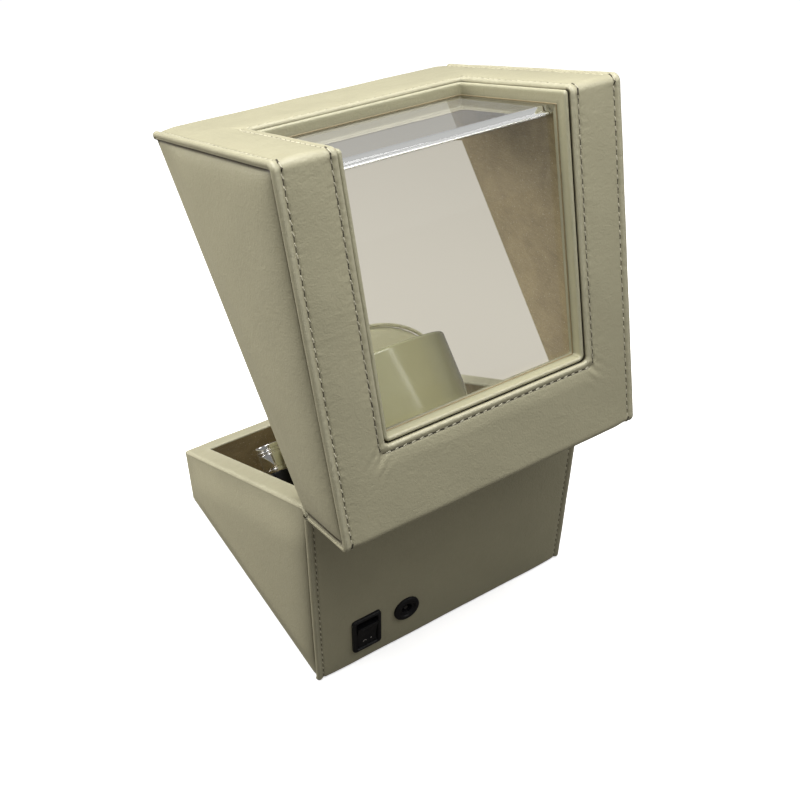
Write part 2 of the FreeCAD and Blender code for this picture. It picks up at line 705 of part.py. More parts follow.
def make_drive():
    under = size("lining") + size("deck_board")
    flange = "(Dims.bush_radius + 3)"
    inner = "(Dims.shaft_radius + Dims.running)"
    foot = "(-Dims.deck_board - Dims.lining)"
    bush = (
        (inner, f"({foot} - 2)"),
        (flange, f"({foot} - 2)"),
        (flange, foot),
        ("Dims.bush_radius", foot),
        ("Dims.bush_radius", "0"),
        (inner, "0"),
    )
    turned = lathe("drum_bush", bush)
    turned.Placement = on_deck(0, 0, 0)
    keep("drum_bush", turned)

    centres = size("module") * (size("drum_teeth") + size("pinion_teeth")) / 2
    foot_of_gear = -size("gear_top") - size("gear_face")
    wheel = gear("drum_wheel", "drum_teeth")
    bore = cylinder("drum_wheel_bore", "Dims.shaft_radius", "3 * Dims.gear_face", at(0, 0, -size("gear_face")))
    drum_gear = cut("drum_gear_cut", wheel, [bore])
    drum_gear.Placement = on_deck(0, 0, foot_of_gear)
    keep("drum_gear", drum_gear)
    pinion = gear("pinion_wheel", "pinion_teeth")
    seat = size("gear_top") + size("gear_face") - size("plate_top") - SHAFT_SEAT
    shaft = cylinder("pinion_shaft", str(MOTOR_SHAFT), str(size("gear_face") - seat), at(0, 0, seat))
    driven = fuse("motor_pinion_solid", [pinion, shaft])
    driven.Placement = on_deck(-centres, 0, foot_of_gear, spin=HALF_TURN / size("pinion_teeth"))
    keep("motor_pinion", driven)

    top = size("drum_foot") + size("drum_floor")
    rod = cylinder("drum_shaft_rod", "Dims.shaft_radius", str(top - foot_of_gear + 1), on_deck(0, 0, foot_of_gear - 1))
    head = cylinder("drum_shaft_head", "2 * Dims.shaft_radius", "1", on_deck(0, 0, top))
    keep("drum_shaft", fuse("drum_shaft_solid", [rod, head]))

    plate_at = on_deck(-centres - PLATE_WIDE / 2, -PLATE_TALL / 2, -size("plate_top") - size("plate"))
    blank = box("motor_plate_blank", str(PLATE_WIDE), str(PLATE_TALL), "Dims.plate", plate_at)
    clearance = on_deck(-centres, 0, -size("plate_top") - 2 * size("plate"))
    hole = cylinder("motor_plate_hole", str(MOTOR_BOSS), str(3 * size("plate")), clearance)
    keep("motor_plate", cut("motor_plate_cut", blank, [hole]))
    posts = []
    for x in (-PLATE_WIDE / 2 + POST_INSET, PLATE_WIDE / 2 - POST_INSET):
        for up in (-PLATE_TALL / 2 + POST_INSET, PLATE_TALL / 2 - POST_INSET):
            long = size("plate_top") - under
            where = on_deck(x - centres, up, -size("plate_top"))
            posts.append(cylinder(f"post_{len(posts)}", str(POST), str(long), where))
    keep("plate_posts", group("plate_post_group", posts))
    foot = "(-Dims.plate - Dims.motor_length)"
    motor = (
        ("0", foot),
        ("(Dims.motor_radius - 1)", foot),
        ("Dims.motor_radius", f"({foot} + 1)"),
        ("Dims.motor_radius", "(-Dims.plate)"),
        (str(MOTOR_BOSS), "(-Dims.plate)"),
        (str(MOTOR_BOSS), "0"),
        (f"({MOTOR_SHAFT} + Dims.running)", "0"),
        (f"({MOTOR_SHAFT} + Dims.running)", f"(-{SHAFT_SEAT + 1})"),
        ("0", f"(-{SHAFT_SEAT + 1})"),
    )
    turned = lathe("gear_motor", motor)
    turned.Placement = on_deck(-centres, 0, -size("plate_top"))
    keep("gear_motor", turned)


def make_drum():
    wall_inner = "Dims.drum_radius - Dims.drum_wall"
    tall = "Dims.drum_rim - Dims.drum_foot"
    deep = "Dims.drum_rim - Dims.drum_foot - Dims.drum_floor + 1"
    outer = cylinder("drum_outer", "Dims.drum_radius", tall, at(0, 0, 0))
    lift = size("drum_foot") - 0.3
    hub = cylinder("drum_hub", str(HUB), str(lift), at(0, 0, -lift))
    hollow = cylinder("drum_hollow", wall_inner, deep, at(0, 0, size("drum_floor")))
    bore = cylinder("drum_bore", "Dims.shaft_radius", "2 * Dims.drum_foot + Dims.drum_floor", at(0, 0, -lift - 1))
    shell = cut("drum_shell", fuse("drum_blank", [outer, hub]), [hollow, bore])
    radius = size("drum_radius")
    inner = radius - size("drum_wall")
    rim = size("drum_rim") - size("drum_foot")
    lip = size("drum_wall") / 2 - 0.1
    rounds = (
        (radius, 0.0, size("drum_round")),
        (radius, rim, lip),
        (inner, rim, lip),
        (inner, size("drum_floor"), size("drum_round") - size("drum_wall")),
    )
    cup = rounded("drum_cup_rounded", shell, rounds)
    cup.Placement = on_deck(0, 0, size("drum_foot"))
    keep("drum_cup", cup)


def pillow_slice(name, start, length):
    """An elliptical slice of the pillow, its axis up the deck."""
    curve = doc.addObject("Part::Ellipse", name + "_edge")
    curve.setExpression("MajorRadius", "Dims.pillow_half")
    curve.setExpression("MinorRadius", "Dims.pillow_rise")
    solid = doc.addObject("Part::Extrusion", name)
    solid.Base = curve
    solid.DirMode = "Custom"
    solid.Dir = Vector(0, 0, 1)
    solid.setExpression("LengthFwd", length)
    solid.Solid = True
    doc.recompute()
    upright = on_deck(0, start, size("pillow_mid"))
    solid.Placement = upright * Placement(Vector(), Rotation(X_AXIS, -QUARTER_TURN))
    return solid


def make_pillow():
    half = size("pillow_span") / 2
    keep("watch_pillow", pillow_slice("pillow_core", -half, "Dims.pillow_span"))
    caps = [
        pillow_slice("pillow_cap_low", -half - size("pillow_cap"), "Dims.pillow_cap"),
        pillow_slice("pillow_cap_high", half, "Dims.pillow_cap"),
    ]
    keep("pillow_caps", group("pillow_cap_group", caps))


# ---------------------------------------------------------------- selector, board, switch and inlet


def make_selector():
    x = size("knob_x")
    up = -size("knob_down")
    under = size("lining") + size("deck_board")
    out = f"(Dims.knob_radius - {GROOVE})"
    top = "Dims.knob_length"
    knob = (
        ("Dims.shaft_radius", "0"),
        (f"(Dims.knob_radius - {GROOVE})", "0"),
        ("Dims.knob_radius", str(GROOVE)),
        ("Dims.knob_radius", f"({top} - 4.4)"),
        (out, f"({top} - 4.1)"),
        (out, f"({top} - 3.5)"),
        ("Dims.knob_radius", f"({top} - 3.2)"),
        ("Dims.knob_radius", f"({top} - 2.3)"),
        (out, f"({top} - 2)"),
        (out, f"({top} - 1.4)"),
        ("Dims.knob_radius", f"({top} - 1.1)"),
        ("Dims.knob_radius", f"({top} - 0.6)"),
        ("(Dims.knob_radius - 0.6)", top),
        ("0", top),
        ("0", f"({top} - 2.5)"),
        ("Dims.shaft_radius", f"({top} - 2.5)"),
    )
    blank = lathe("selector_knob_blank", knob)
    sideways = Rotation(Y_AXIS, QUARTER_TURN)
    start = Placement(Vector(0, 0, SET_SCREW_UP), Rotation(Vector(0, 0, 1), SET_SCREW_TURN) * sideways)
    drilled = cylinder("set_screw_hole", str(SET_SCREW), "2 * Dims.knob_radius", start)
    knob = cut("selector_knob_cut", blank, [drilled])
    knob.Placement = on_deck(x, up, size("washer") + size("play"))
    keep("selector_knob", knob)
    long = size("knob_radius") - size("shaft_radius") - 0.4
    stub = cylinder("set_screw_stub", str(SET_SCREW), str(long), Placement())
    offset = Placement(Vector(0, 0, size("shaft_radius")), Rotation())
    stub.Placement = knob.Placement * start * offset
    keep("knob_set_screw", stub)

    disc = cylinder("selector_washer_disc", "Dims.knob_radius + 0.4", "Dims.washer", on_deck(x, up, 0))
    hole = cylinder("selector_washer_hole", f"Dims.shaft_radius + {COLLAR}", "3 * Dims.washer", on_deck(x, up, -2))
    keep("selector_washer", cut("selector_washer_cut", disc, [hole]))

    length = SELECTOR_SEAT + under + size("washer") + size("play") + size("knob_length") - 2.5
    rod = cylinder("selector_shaft_rod", "Dims.shaft_radius", str(length), on_deck(x, up, -under - SELECTOR_SEAT))
    keep("selector_shaft", rod)
    collar = (
        ("(Dims.shaft_radius + Dims.running)", "0"),
        (f"(Dims.shaft_radius + {COLLAR})", "0"),
        (f"(Dims.shaft_radius + {COLLAR})", "(Dims.deck_board + Dims.lining + Dims.washer)"),
        ("(Dims.shaft_radius + Dims.running)", "(Dims.deck_board + Dims.lining + Dims.washer)"),
    )
    turned = lathe("selector_collar", collar)
    turned.Placement = on_deck(x, up, -under)
    corner = on_deck(x - SELECTOR_BODY / 2, up - SELECTOR_BODY / 2, -under - SELECTOR_DEEP)
    case = box("selector_case", str(SELECTOR_BODY), str(SELECTOR_BODY), str(SELECTOR_DEEP), corner)
    seat_at = on_deck(x, up, -under - SELECTOR_SEAT - 1)
    seat = cylinder("selector_seat", "Dims.shaft_radius + Dims.running", str(SELECTOR_SEAT + 2), seat_at)
    keep("selector_switch", cut("selector_switch_cut", fuse("selector_switch_solid", [turned, case]), [seat]))


def make_control_board():
    floor_top = size("pad") + size("floor_board")
    board_z = floor_top + BOARD_POST
    corner = at(BOARD_X, BOARD_Y, board_z)
    keep("control_board", box("control_board_sheet", str(BOARD_WIDE), str(BOARD_DEEP), str(BOARD), corner))
    posts = []
    for x in (BOARD_X + BOARD_EDGE, BOARD_X + BOARD_WIDE - BOARD_EDGE):
        for y in (BOARD_Y + BOARD_EDGE, BOARD_Y + BOARD_DEEP - BOARD_EDGE):
            posts.append(cylinder(f"board_post_{len(posts)}", "2", str(BOARD_POST), at(x, y, floor_top)))
    keep("board_posts", group("board_post_group", posts))
    top = board_z + BOARD
    chip = box("board_chip", "10", "7", "2", at(BOARD_X + 20, BOARD_Y + 14, top))
    capacitor = cylinder("board_capacitor", "3.2", "8", at(BOARD_X + 10, BOARD_Y + 24, top))
    plug = box("board_plug", str(PLUG[0]), str(PLUG[1]), str(PLUG[2]), at(PLUG_X, PLUG_Y, top))
    keep("board_components", group("board_component_group", [chip, capacitor, plug]))


def lead(name, route):
    """A round lead along straight runs joined by tangent arcs."""
    edges = []
    start = route[0]
    for before, corner, after in zip(route, route[1:], route[2:]):
        inward = (corner - before).normalize()
        outward = (after - corner).normalize()
        half_turn = inward.getAngle(outward) / 2
        reach = 0.45 * min((corner - before).Length, (after - corner).Length)
        entry = corner - inward * reach
        leave = corner + outward * reach
        centre = corner + (outward - inward).normalize() * (reach / sin(half_turn))
        middle = centre + (corner - centre).normalize() * (reach / tan(half_turn))
        edges.append(Part.LineSegment(start, entry).toShape())
        edges.append(Part.Arc(entry, middle, leave).toShape())
        start = leave
    edges.append(Part.LineSegment(start, route[-1]).toShape())
    path = doc.addObject("Part::Feature", name + "_path")
    path.Shape = Part.Wire(edges)
    profile = doc.addObject("Part::Feature", name + "_profile")
    profile.Shape = Part.Wire([Part.Circle(route[0], route[1] - route[0], LEAD).toShape()])
    swept = doc.addObject("Part::Sweep", name)
    swept.Sections = [profile]
    swept.Spine = (path, [])
    swept.Solid = True
    swept.Frenet = True
    doc.recompute()
    length = path.Shape.Length
    if abs(swept.Shape.Volume / (pi * LEAD**2 * length) - 1) > 0.01:
        raise RuntimeError(name + ": the sweep's volume is wrong")
    return swept


def make_wiring():
    """Two-core leads from the inlet, the switch, the selector and the motor to the board's plug."""
    face = size("depth") / 2
    plug_face = PLUG_X + PLUG[0]
    plug_z = size("pad") + size("floor_board") + BOARD_POST + BOARD + PLUG[2] / 2
    inlet = Vector(size("jack_x"), face - JACK_DEEP, size("jack_z"))
    tab = Vector(size("switch_x"), face - SWITCH_DEEP - TERMINAL, size("switch_z") - TERMINAL_GAP)
    under = size("lining") + size("deck_board")
    selector = on_deck(size("knob_x"), -size("knob_down"), -under - SELECTOR_DEEP).Base
    centres = size("module") * (size("drum_teeth") + size("pinion_teeth")) / 2
    motor = on_deck(-centres, 0, -size("plate_top") - size("plate") - size("motor_length")).Base
    beside = plug_face + LEAD_STRAIGHT

    def into_plug(y):
        return [Vector(beside, PLUG_Y + y, plug_z), Vector(plug_face, PLUG_Y + y, plug_z)]

    behind = PLUG_Y + PLUG[1]
    motor_end = [Vector(PLUG_X + 2, behind + LEAD_STRAIGHT, plug_z), Vector(PLUG_X + 2, behind, plug_z)]
    routes = (
        [inlet, Vector(inlet.x, 46, inlet.z), Vector(20, 32, 18)] + into_plug(9),
        [tab, Vector(tab.x, 38, tab.z), Vector(30, 24, plug_z)] + into_plug(6),
        [selector, selector - DRUM_AXIS * 9, Vector(32, 16, plug_z)] + into_plug(3),
        [motor, motor - DRUM_AXIS * 7, Vector(-14, 47, 23)] + motor_end,
    )
    leads = [lead(f"lead_{index}", route) for index, route in enumerate(routes)]
    keep("wiring", group("lead_group", leads))


def rocker_pivot(name, radius, reach):
    """A round bar along the rocker's axis, reaching past both of its sides."""
    half = ROCKER_WIDE / 2 + reach
    start = Vector(size("switch_x") - half, size("depth") / 2 - ROCKER_SUNK, size("switch_z"))
    return cylinder(name, str(radius), str(2 * half), Placement(start, Rotation(Y_AXIS, QUARTER_TURN)))


def make_switch():
    x = size("switch_x")
    z = size("switch_z")
    face = size("depth") / 2
    bezel_at = at(x - size("switch_wide") / 2, face, z - size("switch_tall") / 2)
    bezel = box("switch_bezel", "Dims.switch_wide", "Dims.switch_proud", "Dims.switch_tall", bezel_at)
    body_wide = CUTOUT_WIDE - 2 * FIT
    body_tall = CUTOUT_TALL - 2 * FIT
    shell_at = at(x - body_wide / 2, face - SWITCH_DEEP, z - body_tall / 2)
    shell = box("switch_shell", str(body_wide), str(SWITCH_DEEP), str(body_tall), shell_at)
    whole = fuse("switch_case", [bezel, shell])
    well_at = at(x - ROCKER_WIDE / 2 - FIT, face - ROCKER_ROOM, z - ROCKER_WELL / 2)
    deep = ROCKER_ROOM + size("switch_proud") + 1
    well = box("switch_well", str(ROCKER_WIDE + 2 * FIT), str(deep), str(ROCKER_WELL), well_at)
    socket = rocker_pivot("rocker_socket", PIVOT + size("running"), PIVOT_REACH + FIT)
    keep("switch_housing", cut("switch_housing_cut", whole, [well, socket]))
    terminals = []
    for dz in (-TERMINAL_GAP, TERMINAL_GAP):
        where = at(x - 2.4, face - SWITCH_DEEP - TERMINAL, z + dz - 0.4)
        terminals.append(box(f"terminal_{len(terminals)}", "4.8", str(TERMINAL), "0.8", where))
    keep("switch_terminals", group("switch_terminal_group", terminals))

    half = str(ROCKER_TALL / 2)
    low = f"(-{half})"
    rocker = (
        ("(-3)", "(-3.5)"),
        ("0.5", low),
        (str(ROCKER_PROUD), low),
        (str(ROCKER_PROUD - ROCKER_DISH), "0"),
        (str(ROCKER_PROUD), half),
        ("0.5", half),
        ("(-3)", "3.5"),
    )
    body = slab("rocker_body", rocker, str(ROCKER_WIDE))
    body.Placement = Placement(Vector(x, face - ROCKER_SUNK, z), Rotation(X_AXIS, -ROCKER_TILT))
    keep("switch_rocker", fuse("rocker_on_pivots", [body, rocker_pivot("rocker_pivots", PIVOT, PIVOT_REACH)]))


def make_inlet():
    x = size("jack_x")
    z = size("jack_z")
    face = size("depth") / 2
    inward = Rotation(X_AXIS, QUARTER_TURN)
    front = f"(-{JACK_PROUD})"
    jack = (
        ("Dims.jack_bore", front),
        (f"(Dims.jack_flange - {JACK_PROUD / 2})", front),
        ("Dims.jack_flange", f"(-{JACK_PROUD / 2})"),
        ("Dims.jack_flange", "0"),
        ("Dims.jack_barrel", "0"),
        ("Dims.jack_barrel", str(JACK_DEEP)),
        ("0", str(JACK_DEEP)),
        ("0", str(JACK_DEEP - 2)),
        ("Dims.jack_bore", str(JACK_DEEP - 2)),
    )
    turned = lathe("power_inlet", jack)
    turned.Placement = Placement(Vector(x, face, z), inward)
    keep("power_inlet", turned)
    pin = cylinder("inlet_pin_rod", str(INLET_PIN), str(JACK_DEEP - 2), Placement(Vector(x, face, z), inward))
    keep("inlet_pin", pin)
    nut_start = size("leather") + THIN_WALL
    nut = doc.addObject("Part::Prism", "inlet_nut_hexagon")
    nut.Polygon = 6
    nut.setExpression("Circumradius", f"Dims.jack_barrel + {NUT_WALL}")
    nut.setExpression("Height", str(NUT_TALL))
    nut.Placement = Placement(Vector(x, face - nut_start, z), inward)
    hole_at = Placement(Vector(x, face, z), inward)
    hole = cylinder("inlet_nut_hole", "Dims.jack_barrel", str(4 * NUT_TALL), hole_at)
    keep("inlet_nut", cut("inlet_nut_cut", nut, [hole]))


# ---------------------------------------------------------------- lid


def lid_side(name, x, thickness):
    front = f"(-{WALL_Y})"
    points = (
        (front, rim_z(front, OVER_SKIN)),
        bevel_corner(OVER_SKIN, LID_BEVEL),
        (WALL_Y, bevel_z(WALL_Y, OVER_SKIN, LID_BEVEL)),
        (WALL_Y, TOP_WALL),
        (front, TOP_WALL),
    )
    return slab(name, points, thickness, x)


def make_lid_boards():
    wall_x = size("width") / 2 - size("leather")
    room_x = wall_x - size("side_board")
    keep("lid_left_board", lid_side("lid_left_board", -wall_x, "Dims.side_board"), in_lid=True)
    keep("lid_right_board", lid_side("lid_right_board", room_x, "Dims.side_board"), in_lid=True)
    skins = [
        lid_side("lid_left_skin", -size("width") / 2, "Dims.leather"),
        lid_side("lid_right_skin", wall_x, "Dims.leather"),
    ]
    keep("lid_side_leathers", group("lid_skin_group", skins), in_lid=True)

    front = f"(-{WALL_Y})"
    front_board = (
        (front, rim_z(front, OVER_SKIN)),
        (LID_FRONT, rim_z(LID_FRONT, OVER_SKIN)),
        (LID_FRONT, TOP_ROOM),
        (front, TOP_ROOM),
    )
    board = slab("lid_front_board", front_board, f"2 * {ROOM_X}")
    cut_through(board, "XZ_Plane", rectangle(NOTCH_X, "(Dims.window_low - Dims.window_play)", "(2 * Dims.height)"))
    keep("lid_front_board", board, in_lid=True)
    top_board = (
        (front, TOP_ROOM),
        (WALL_Y, TOP_ROOM),
        (WALL_Y, TOP_WALL),
        (front, TOP_WALL),
    )
    board = slab("lid_top_board", top_board, f"2 * {ROOM_X}")
    notch = rectangle(NOTCH_X, "(-Dims.depth)", "(Dims.window_back + Dims.window_play)")
    keep("lid_top_board", cut_through(board, "XY_Plane", notch), in_lid=True)
    rear_board = (
        (ROOM_BACK, rim_z(ROOM_BACK, OVER_SKIN)),
        bevel_corner(OVER_SKIN, LID_BEVEL),
        (WALL_Y, bevel_z(WALL_Y, OVER_SKIN, LID_BEVEL)),
        (WALL_Y, TOP_ROOM),
        (ROOM_BACK, TOP_ROOM),
    )
    blank = slab("lid_rear_board_blank", rear_board, f"2 * {ROOM_X}")
    tools = knuckle_grooves("lid_groove") + leaf_screws("lid_pilot", 1)
    keep("lid_rear_board", cut("lid_rear_board_cut", blank, tools), in_lid=True)


def make_lid_skins():
    front = f"(-{WALL_Y})"
    out = f"(-{OUT_Y})"
    wrap = (
        (out, rim_z(out, OVER_SKIN)),
        (out, TOP),
        (OUT_Y, TOP),
        (OUT_Y, bevel_z(OUT_Y, OVER_SKIN, LID_BEVEL)),
        (WALL_Y, bevel_z(WALL_Y, OVER_SKIN, LID_BEVEL)),
        (WALL_Y, TOP_WALL),
        (front, TOP_WALL),
        (front, rim_z(front, OVER_SKIN)),
    )
    strip = slab("lid_wrap_leather", wrap, "Dims.width")
    window = (
        ("(-Dims.depth)", "Dims.window_low"),
        ("Dims.window_back", "Dims.window_low"),
        ("Dims.window_back", "(2 * Dims.height)"),
        ("(-Dims.depth)", "(2 * Dims.height)"),
    )
    extrude(strip, "Pocket", outline(strip, "YZ_Plane", window), "2 * Dims.window_half", symmetric=True)
    keep("lid_wrap_leather", strip, in_lid=True)

    rim = (
        (out, rim_z(out, "Dims.rim_gap")),
        bevel_corner("Dims.rim_gap", LID_BEVEL),
        (OUT_Y, bevel_z(OUT_Y, "Dims.rim_gap", LID_BEVEL)),
        (OUT_Y, bevel_z(OUT_Y, OVER_SKIN, LID_BEVEL)),
        bevel_corner(OVER_SKIN, LID_BEVEL),
        (out, rim_z(out, OVER_SKIN)),
    )
    blank = slab("lid_rim_leather_blank", rim, "Dims.width")
    cut_through(blank, "XY_Plane", rectangle(LINED_X, LID_LINED_FRONT, LINED_BACK))
    keep("lid_rim_leather", cut("lid_rim_leather_cut", blank, leaf_mortises("lid_mortise")), in_lid=True)


def make_window():
    low = "(Dims.window_low + Dims.window_play)"
    back = "(Dims.window_back - Dims.window_play)"
    half = "(Dims.window_half - Dims.window_play)"

    def bent_strip(outer, inner, low_end, back_end):
        """The section of a strip bent over the front top edge, between two depths below the leather."""
        return (
            (f"({outer} - {OUT_Y})", low_end),
            (f"({outer} - {OUT_Y})", f"({TOP} - {outer})"),
            (back_end, f"({TOP} - {outer})"),
            (back_end, f"({TOP} - {inner})"),
            (f"({inner} - {OUT_Y})", f"({TOP} - {inner})"),
            (f"({inner} - {OUT_Y})", low_end),
        )

    depth_in = "(Dims.leather + Dims.top_board + Dims.lining)"
    frame = slab("window_frame", bent_strip("Dims.window_lip", depth_in, low, back), f"2 * {half}")
    pane_low = f"({low} + Dims.window_wall)"
    pane_back = f"({back} - Dims.window_wall)"
    light = (
        ("(-Dims.depth)", pane_low),
        (pane_back, pane_low),
        (pane_back, "(2 * Dims.height)"),
        ("(-Dims.depth)", "(2 * Dims.height)"),
    )
    extrude(frame, "Pocket", outline(frame, "YZ_Plane", light), f"2 * ({half} - Dims.window_wall)", symmetric=True)
    keep("window_frame", frame, in_lid=True)
    pane_in = "(Dims.pane_drop + Dims.pane)"
    pane = slab(
        "window_pane", bent_strip("Dims.pane_drop", pane_in, pane_low, pane_back), f"2 * ({half} - Dims.window_wall)"
    )
    keep("window_pane", pane, in_lid=True)


def make_lid_linings():
    room_x = size("width") / 2 - size("leather") - size("side_board")
    side_lining = (
        (LID_FRONT, rim_z(LID_FRONT, OVER_SKIN)),
        (ROOM_BACK, rim_z(ROOM_BACK, OVER_SKIN)),
        (ROOM_BACK, TOP_ROOM),
        (LID_FRONT, TOP_ROOM),
    )
    sheets = [
        slab("lid_left_sheet", side_lining, "Dims.lining", -room_x),
        slab("lid_right_sheet", side_lining, "Dims.lining", room_x - size("lining")),
    ]
    keep("lid_side_linings", group("lid_lining_group", sheets), in_lid=True)
    front_lining = (
        (LID_FRONT, rim_z(LID_FRONT, OVER_SKIN)),
        (LID_LINED_FRONT, rim_z(LID_LINED_FRONT, OVER_SKIN)),
        (LID_LINED_FRONT, "(Dims.window_low - Dims.window_play)"),
        (LID_FRONT, "(Dims.window_low - Dims.window_play)"),
    )
    keep("lid_front_lining", slab("lid_front_lining", front_lining, f"2 * {LINED_X}"), in_lid=True)
    rear_lining = (
        (LINED_BACK, rim_z(LINED_BACK, OVER_SKIN)),
        (ROOM_BACK, rim_z(ROOM_BACK, OVER_SKIN)),
        (ROOM_BACK, LINED_TOP),
        (LINED_BACK, LINED_TOP),
    )
    keep("lid_rear_lining", slab("lid_rear_lining", rear_lining, f"2 * {LINED_X}"), in_lid=True)
    top_lining = (
        (LID_FRONT, LINED_TOP),
        (ROOM_BACK, LINED_TOP),
        (ROOM_BACK, TOP_ROOM),
        (LID_FRONT, TOP_ROOM),
    )
    sheet_in = slab("lid_top_lining", top_lining, f"2 * {LINED_X}")
    notch = rectangle(NOTCH_X, "(-Dims.depth)", "(Dims.window_back + Dims.window_play)")
    keep("lid_top_lining", cut_through(sheet_in, "XY_Plane", notch), in_lid=True)


# ---------------------------------------------------------------- hinges


def hinge_leaf(name, centre, side, knuckles):
    """One leaf with its knuckles. side is -1 for the base, below the parting plane, and +1 for the lid."""
    lean = Rotation(X_AXIS, size("rim_angle"))

    def in_hinge(x, y, z, turn=Rotation()):
        return Placement(HINGE + lean.multVec(Vector(x, y, z)), lean * turn)

    wide = size("leaf_wide")
    step = wide / KNUCKLES
    start = centre - wide / 2
    bottom = size("rim_gap") if side > 0 else -size("rim_gap") - size("leaf")
    clear = size("knuckle") + size("play")
    flat = box(
        name + "_flat",
        "Dims.leaf_wide",
        "Dims.leaf_deep - Dims.knuckle - Dims.play",
        "Dims.leaf",
        in_hinge(start, -size("leaf_deep"), bottom),
    )
    solids = [flat]
    for k in knuckles:
        left = start + k * step + (KNUCKLE_GAP if k else 0)
        right = start + (k + 1) * step - (KNUCKLE_GAP if k < KNUCKLES - 1 else 0)
        length = str(right - left)
        strap_at = in_hinge(left, -clear - KNUCKLE_GAP, bottom)
        solids.append(box(f"{name}_strap_{k}", length, str(clear + KNUCKLE_GAP), "Dims.leaf", strap_at))
        along_x = in_hinge(left, 0, 0, Rotation(Y_AXIS, QUARTER_TURN))
        solids.append(cylinder(f"{name}_knuckle_{k}", "Dims.knuckle", length, along_x))
    bore_at = in_hinge(start - 1, 0, 0, Rotation(Y_AXIS, QUARTER_TURN))
    radius = "Dims.pin + Dims.running" if side > 0 else "Dims.pin"
    tools = [cylinder(name + "_bore", radius, "Dims.leaf_wide + 2", bore_at)]
    for where in leaf_screw_places(side):
        if abs(where.Base.x - centre) < wide / 2:
            tools.append(countersink(f"{name}_sink_{len(tools)}", LEAF_SCREW, 2 * LEAF_SCREW, where))
    return cut(name, fuse(name + "_solids", solids), tools)


def make_hinges():
    base_leaves = []
    lid_leaves = []
    pins = []
    for side in (-1, 1):
        centre = side * size("hinge_x")
        base_leaves.append(hinge_leaf(f"base_leaf_{side + 1}", centre, -1, (0, 2, 4)))
        lid_leaves.append(hinge_leaf(f"lid_leaf_{side + 1}", centre, 1, (1, 3)))
        start = HINGE + X_AXIS * (centre - size("leaf_wide") / 2)
        along_x = Placement(start, Rotation(Y_AXIS, QUARTER_TURN))
        pins.append(cylinder(f"hinge_pin_{side + 1}", "Dims.pin", "Dims.leaf_wide", along_x))
    keep("base_hinge_leaves", group("base_leaf_group", base_leaves))
    keep("hinge_pins", group("hinge_pin_group", pins))
    keep("base_hinge_screws", group("base_leaf_screw_group", leaf_screws("base_leaf_screw", -1)))
    keep("lid_hinge_leaves", group("lid_leaf_group", lid_leaves), in_lid=True)
    keep("lid_hinge_screws", group("lid_leaf_screw_group", leaf_screws("lid_leaf_screw", 1)), in_lid=True)


# ---------------------------------------------------------------- build, check and write


def check():
    for item in doc.Objects:
        if "Invalid" in item.State or "Error" in item.State:
            raise RuntimeError(f"{item.Label} failed: {item.State}")
    for label, item in nodes.items():
        if item.Shape.isNull() or not item.Shape.isValid() or not item.Shape.Solids:
            raise RuntimeError(f"{label} has no valid solid")


def write():
    os.makedirs("parts", exist_ok=True)
    for label, item in nodes.items():
        item.Shape.exportStep(f"parts/{label}.step")
        extent = item.Shape.BoundBox
        print(
            f"{label:20s} {len(item.Shape.Solids)} solid(s), volume {item.Shape.Volume:9.1f},",
            f"x {extent.XMin:.1f}..{extent.XMax:.1f} y {extent.YMin:.1f}..{extent.YMax:.1f}",
            f"z {extent.ZMin:.1f}..{extent.ZMax:.1f}",
        )
    print(len(nodes), "nodes")


make_base_case()
make_base_linings()
make_deck()
make_drive()
make_drum()
make_pillow()
make_selector()
make_control_board()
make_wiring()
make_switch()
make_inlet()
make_lid_boards()
make_lid_skins()
make_window()
make_lid_linings()
make_hinges()
doc.recompute()
check()
write()
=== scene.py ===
import json
import math

import bmesh
import bpy
import numpy as np
from mathutils import Matrix, Vector


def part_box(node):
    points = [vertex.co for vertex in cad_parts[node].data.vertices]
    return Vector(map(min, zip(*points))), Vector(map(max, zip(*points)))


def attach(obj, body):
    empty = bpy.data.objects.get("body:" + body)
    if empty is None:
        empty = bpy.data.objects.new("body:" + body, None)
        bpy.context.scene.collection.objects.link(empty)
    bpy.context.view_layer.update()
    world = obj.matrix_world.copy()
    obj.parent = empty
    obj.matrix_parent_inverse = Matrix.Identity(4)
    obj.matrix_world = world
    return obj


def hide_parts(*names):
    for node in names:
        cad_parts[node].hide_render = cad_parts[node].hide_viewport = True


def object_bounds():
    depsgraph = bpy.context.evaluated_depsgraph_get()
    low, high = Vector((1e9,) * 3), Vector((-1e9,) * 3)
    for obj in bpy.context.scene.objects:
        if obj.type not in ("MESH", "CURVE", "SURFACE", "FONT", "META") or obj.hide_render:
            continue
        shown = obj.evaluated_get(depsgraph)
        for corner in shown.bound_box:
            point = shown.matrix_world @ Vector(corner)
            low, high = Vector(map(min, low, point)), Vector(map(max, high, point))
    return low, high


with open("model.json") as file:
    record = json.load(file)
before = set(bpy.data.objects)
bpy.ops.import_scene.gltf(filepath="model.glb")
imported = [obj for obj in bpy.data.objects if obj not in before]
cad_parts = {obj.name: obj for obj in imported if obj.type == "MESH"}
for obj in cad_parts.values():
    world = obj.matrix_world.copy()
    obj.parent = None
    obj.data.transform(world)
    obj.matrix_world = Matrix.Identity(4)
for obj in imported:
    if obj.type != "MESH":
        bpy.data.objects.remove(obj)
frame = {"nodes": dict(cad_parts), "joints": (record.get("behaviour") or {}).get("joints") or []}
cad_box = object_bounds()

# Everything below is worked out in millimetres and becomes metres where a mesh is made.
# Lid pieces are worked out with the lid closed, then turned open about the hinge.
MM = 0.001

# ---------------------------------------------------------------- places, from the frame

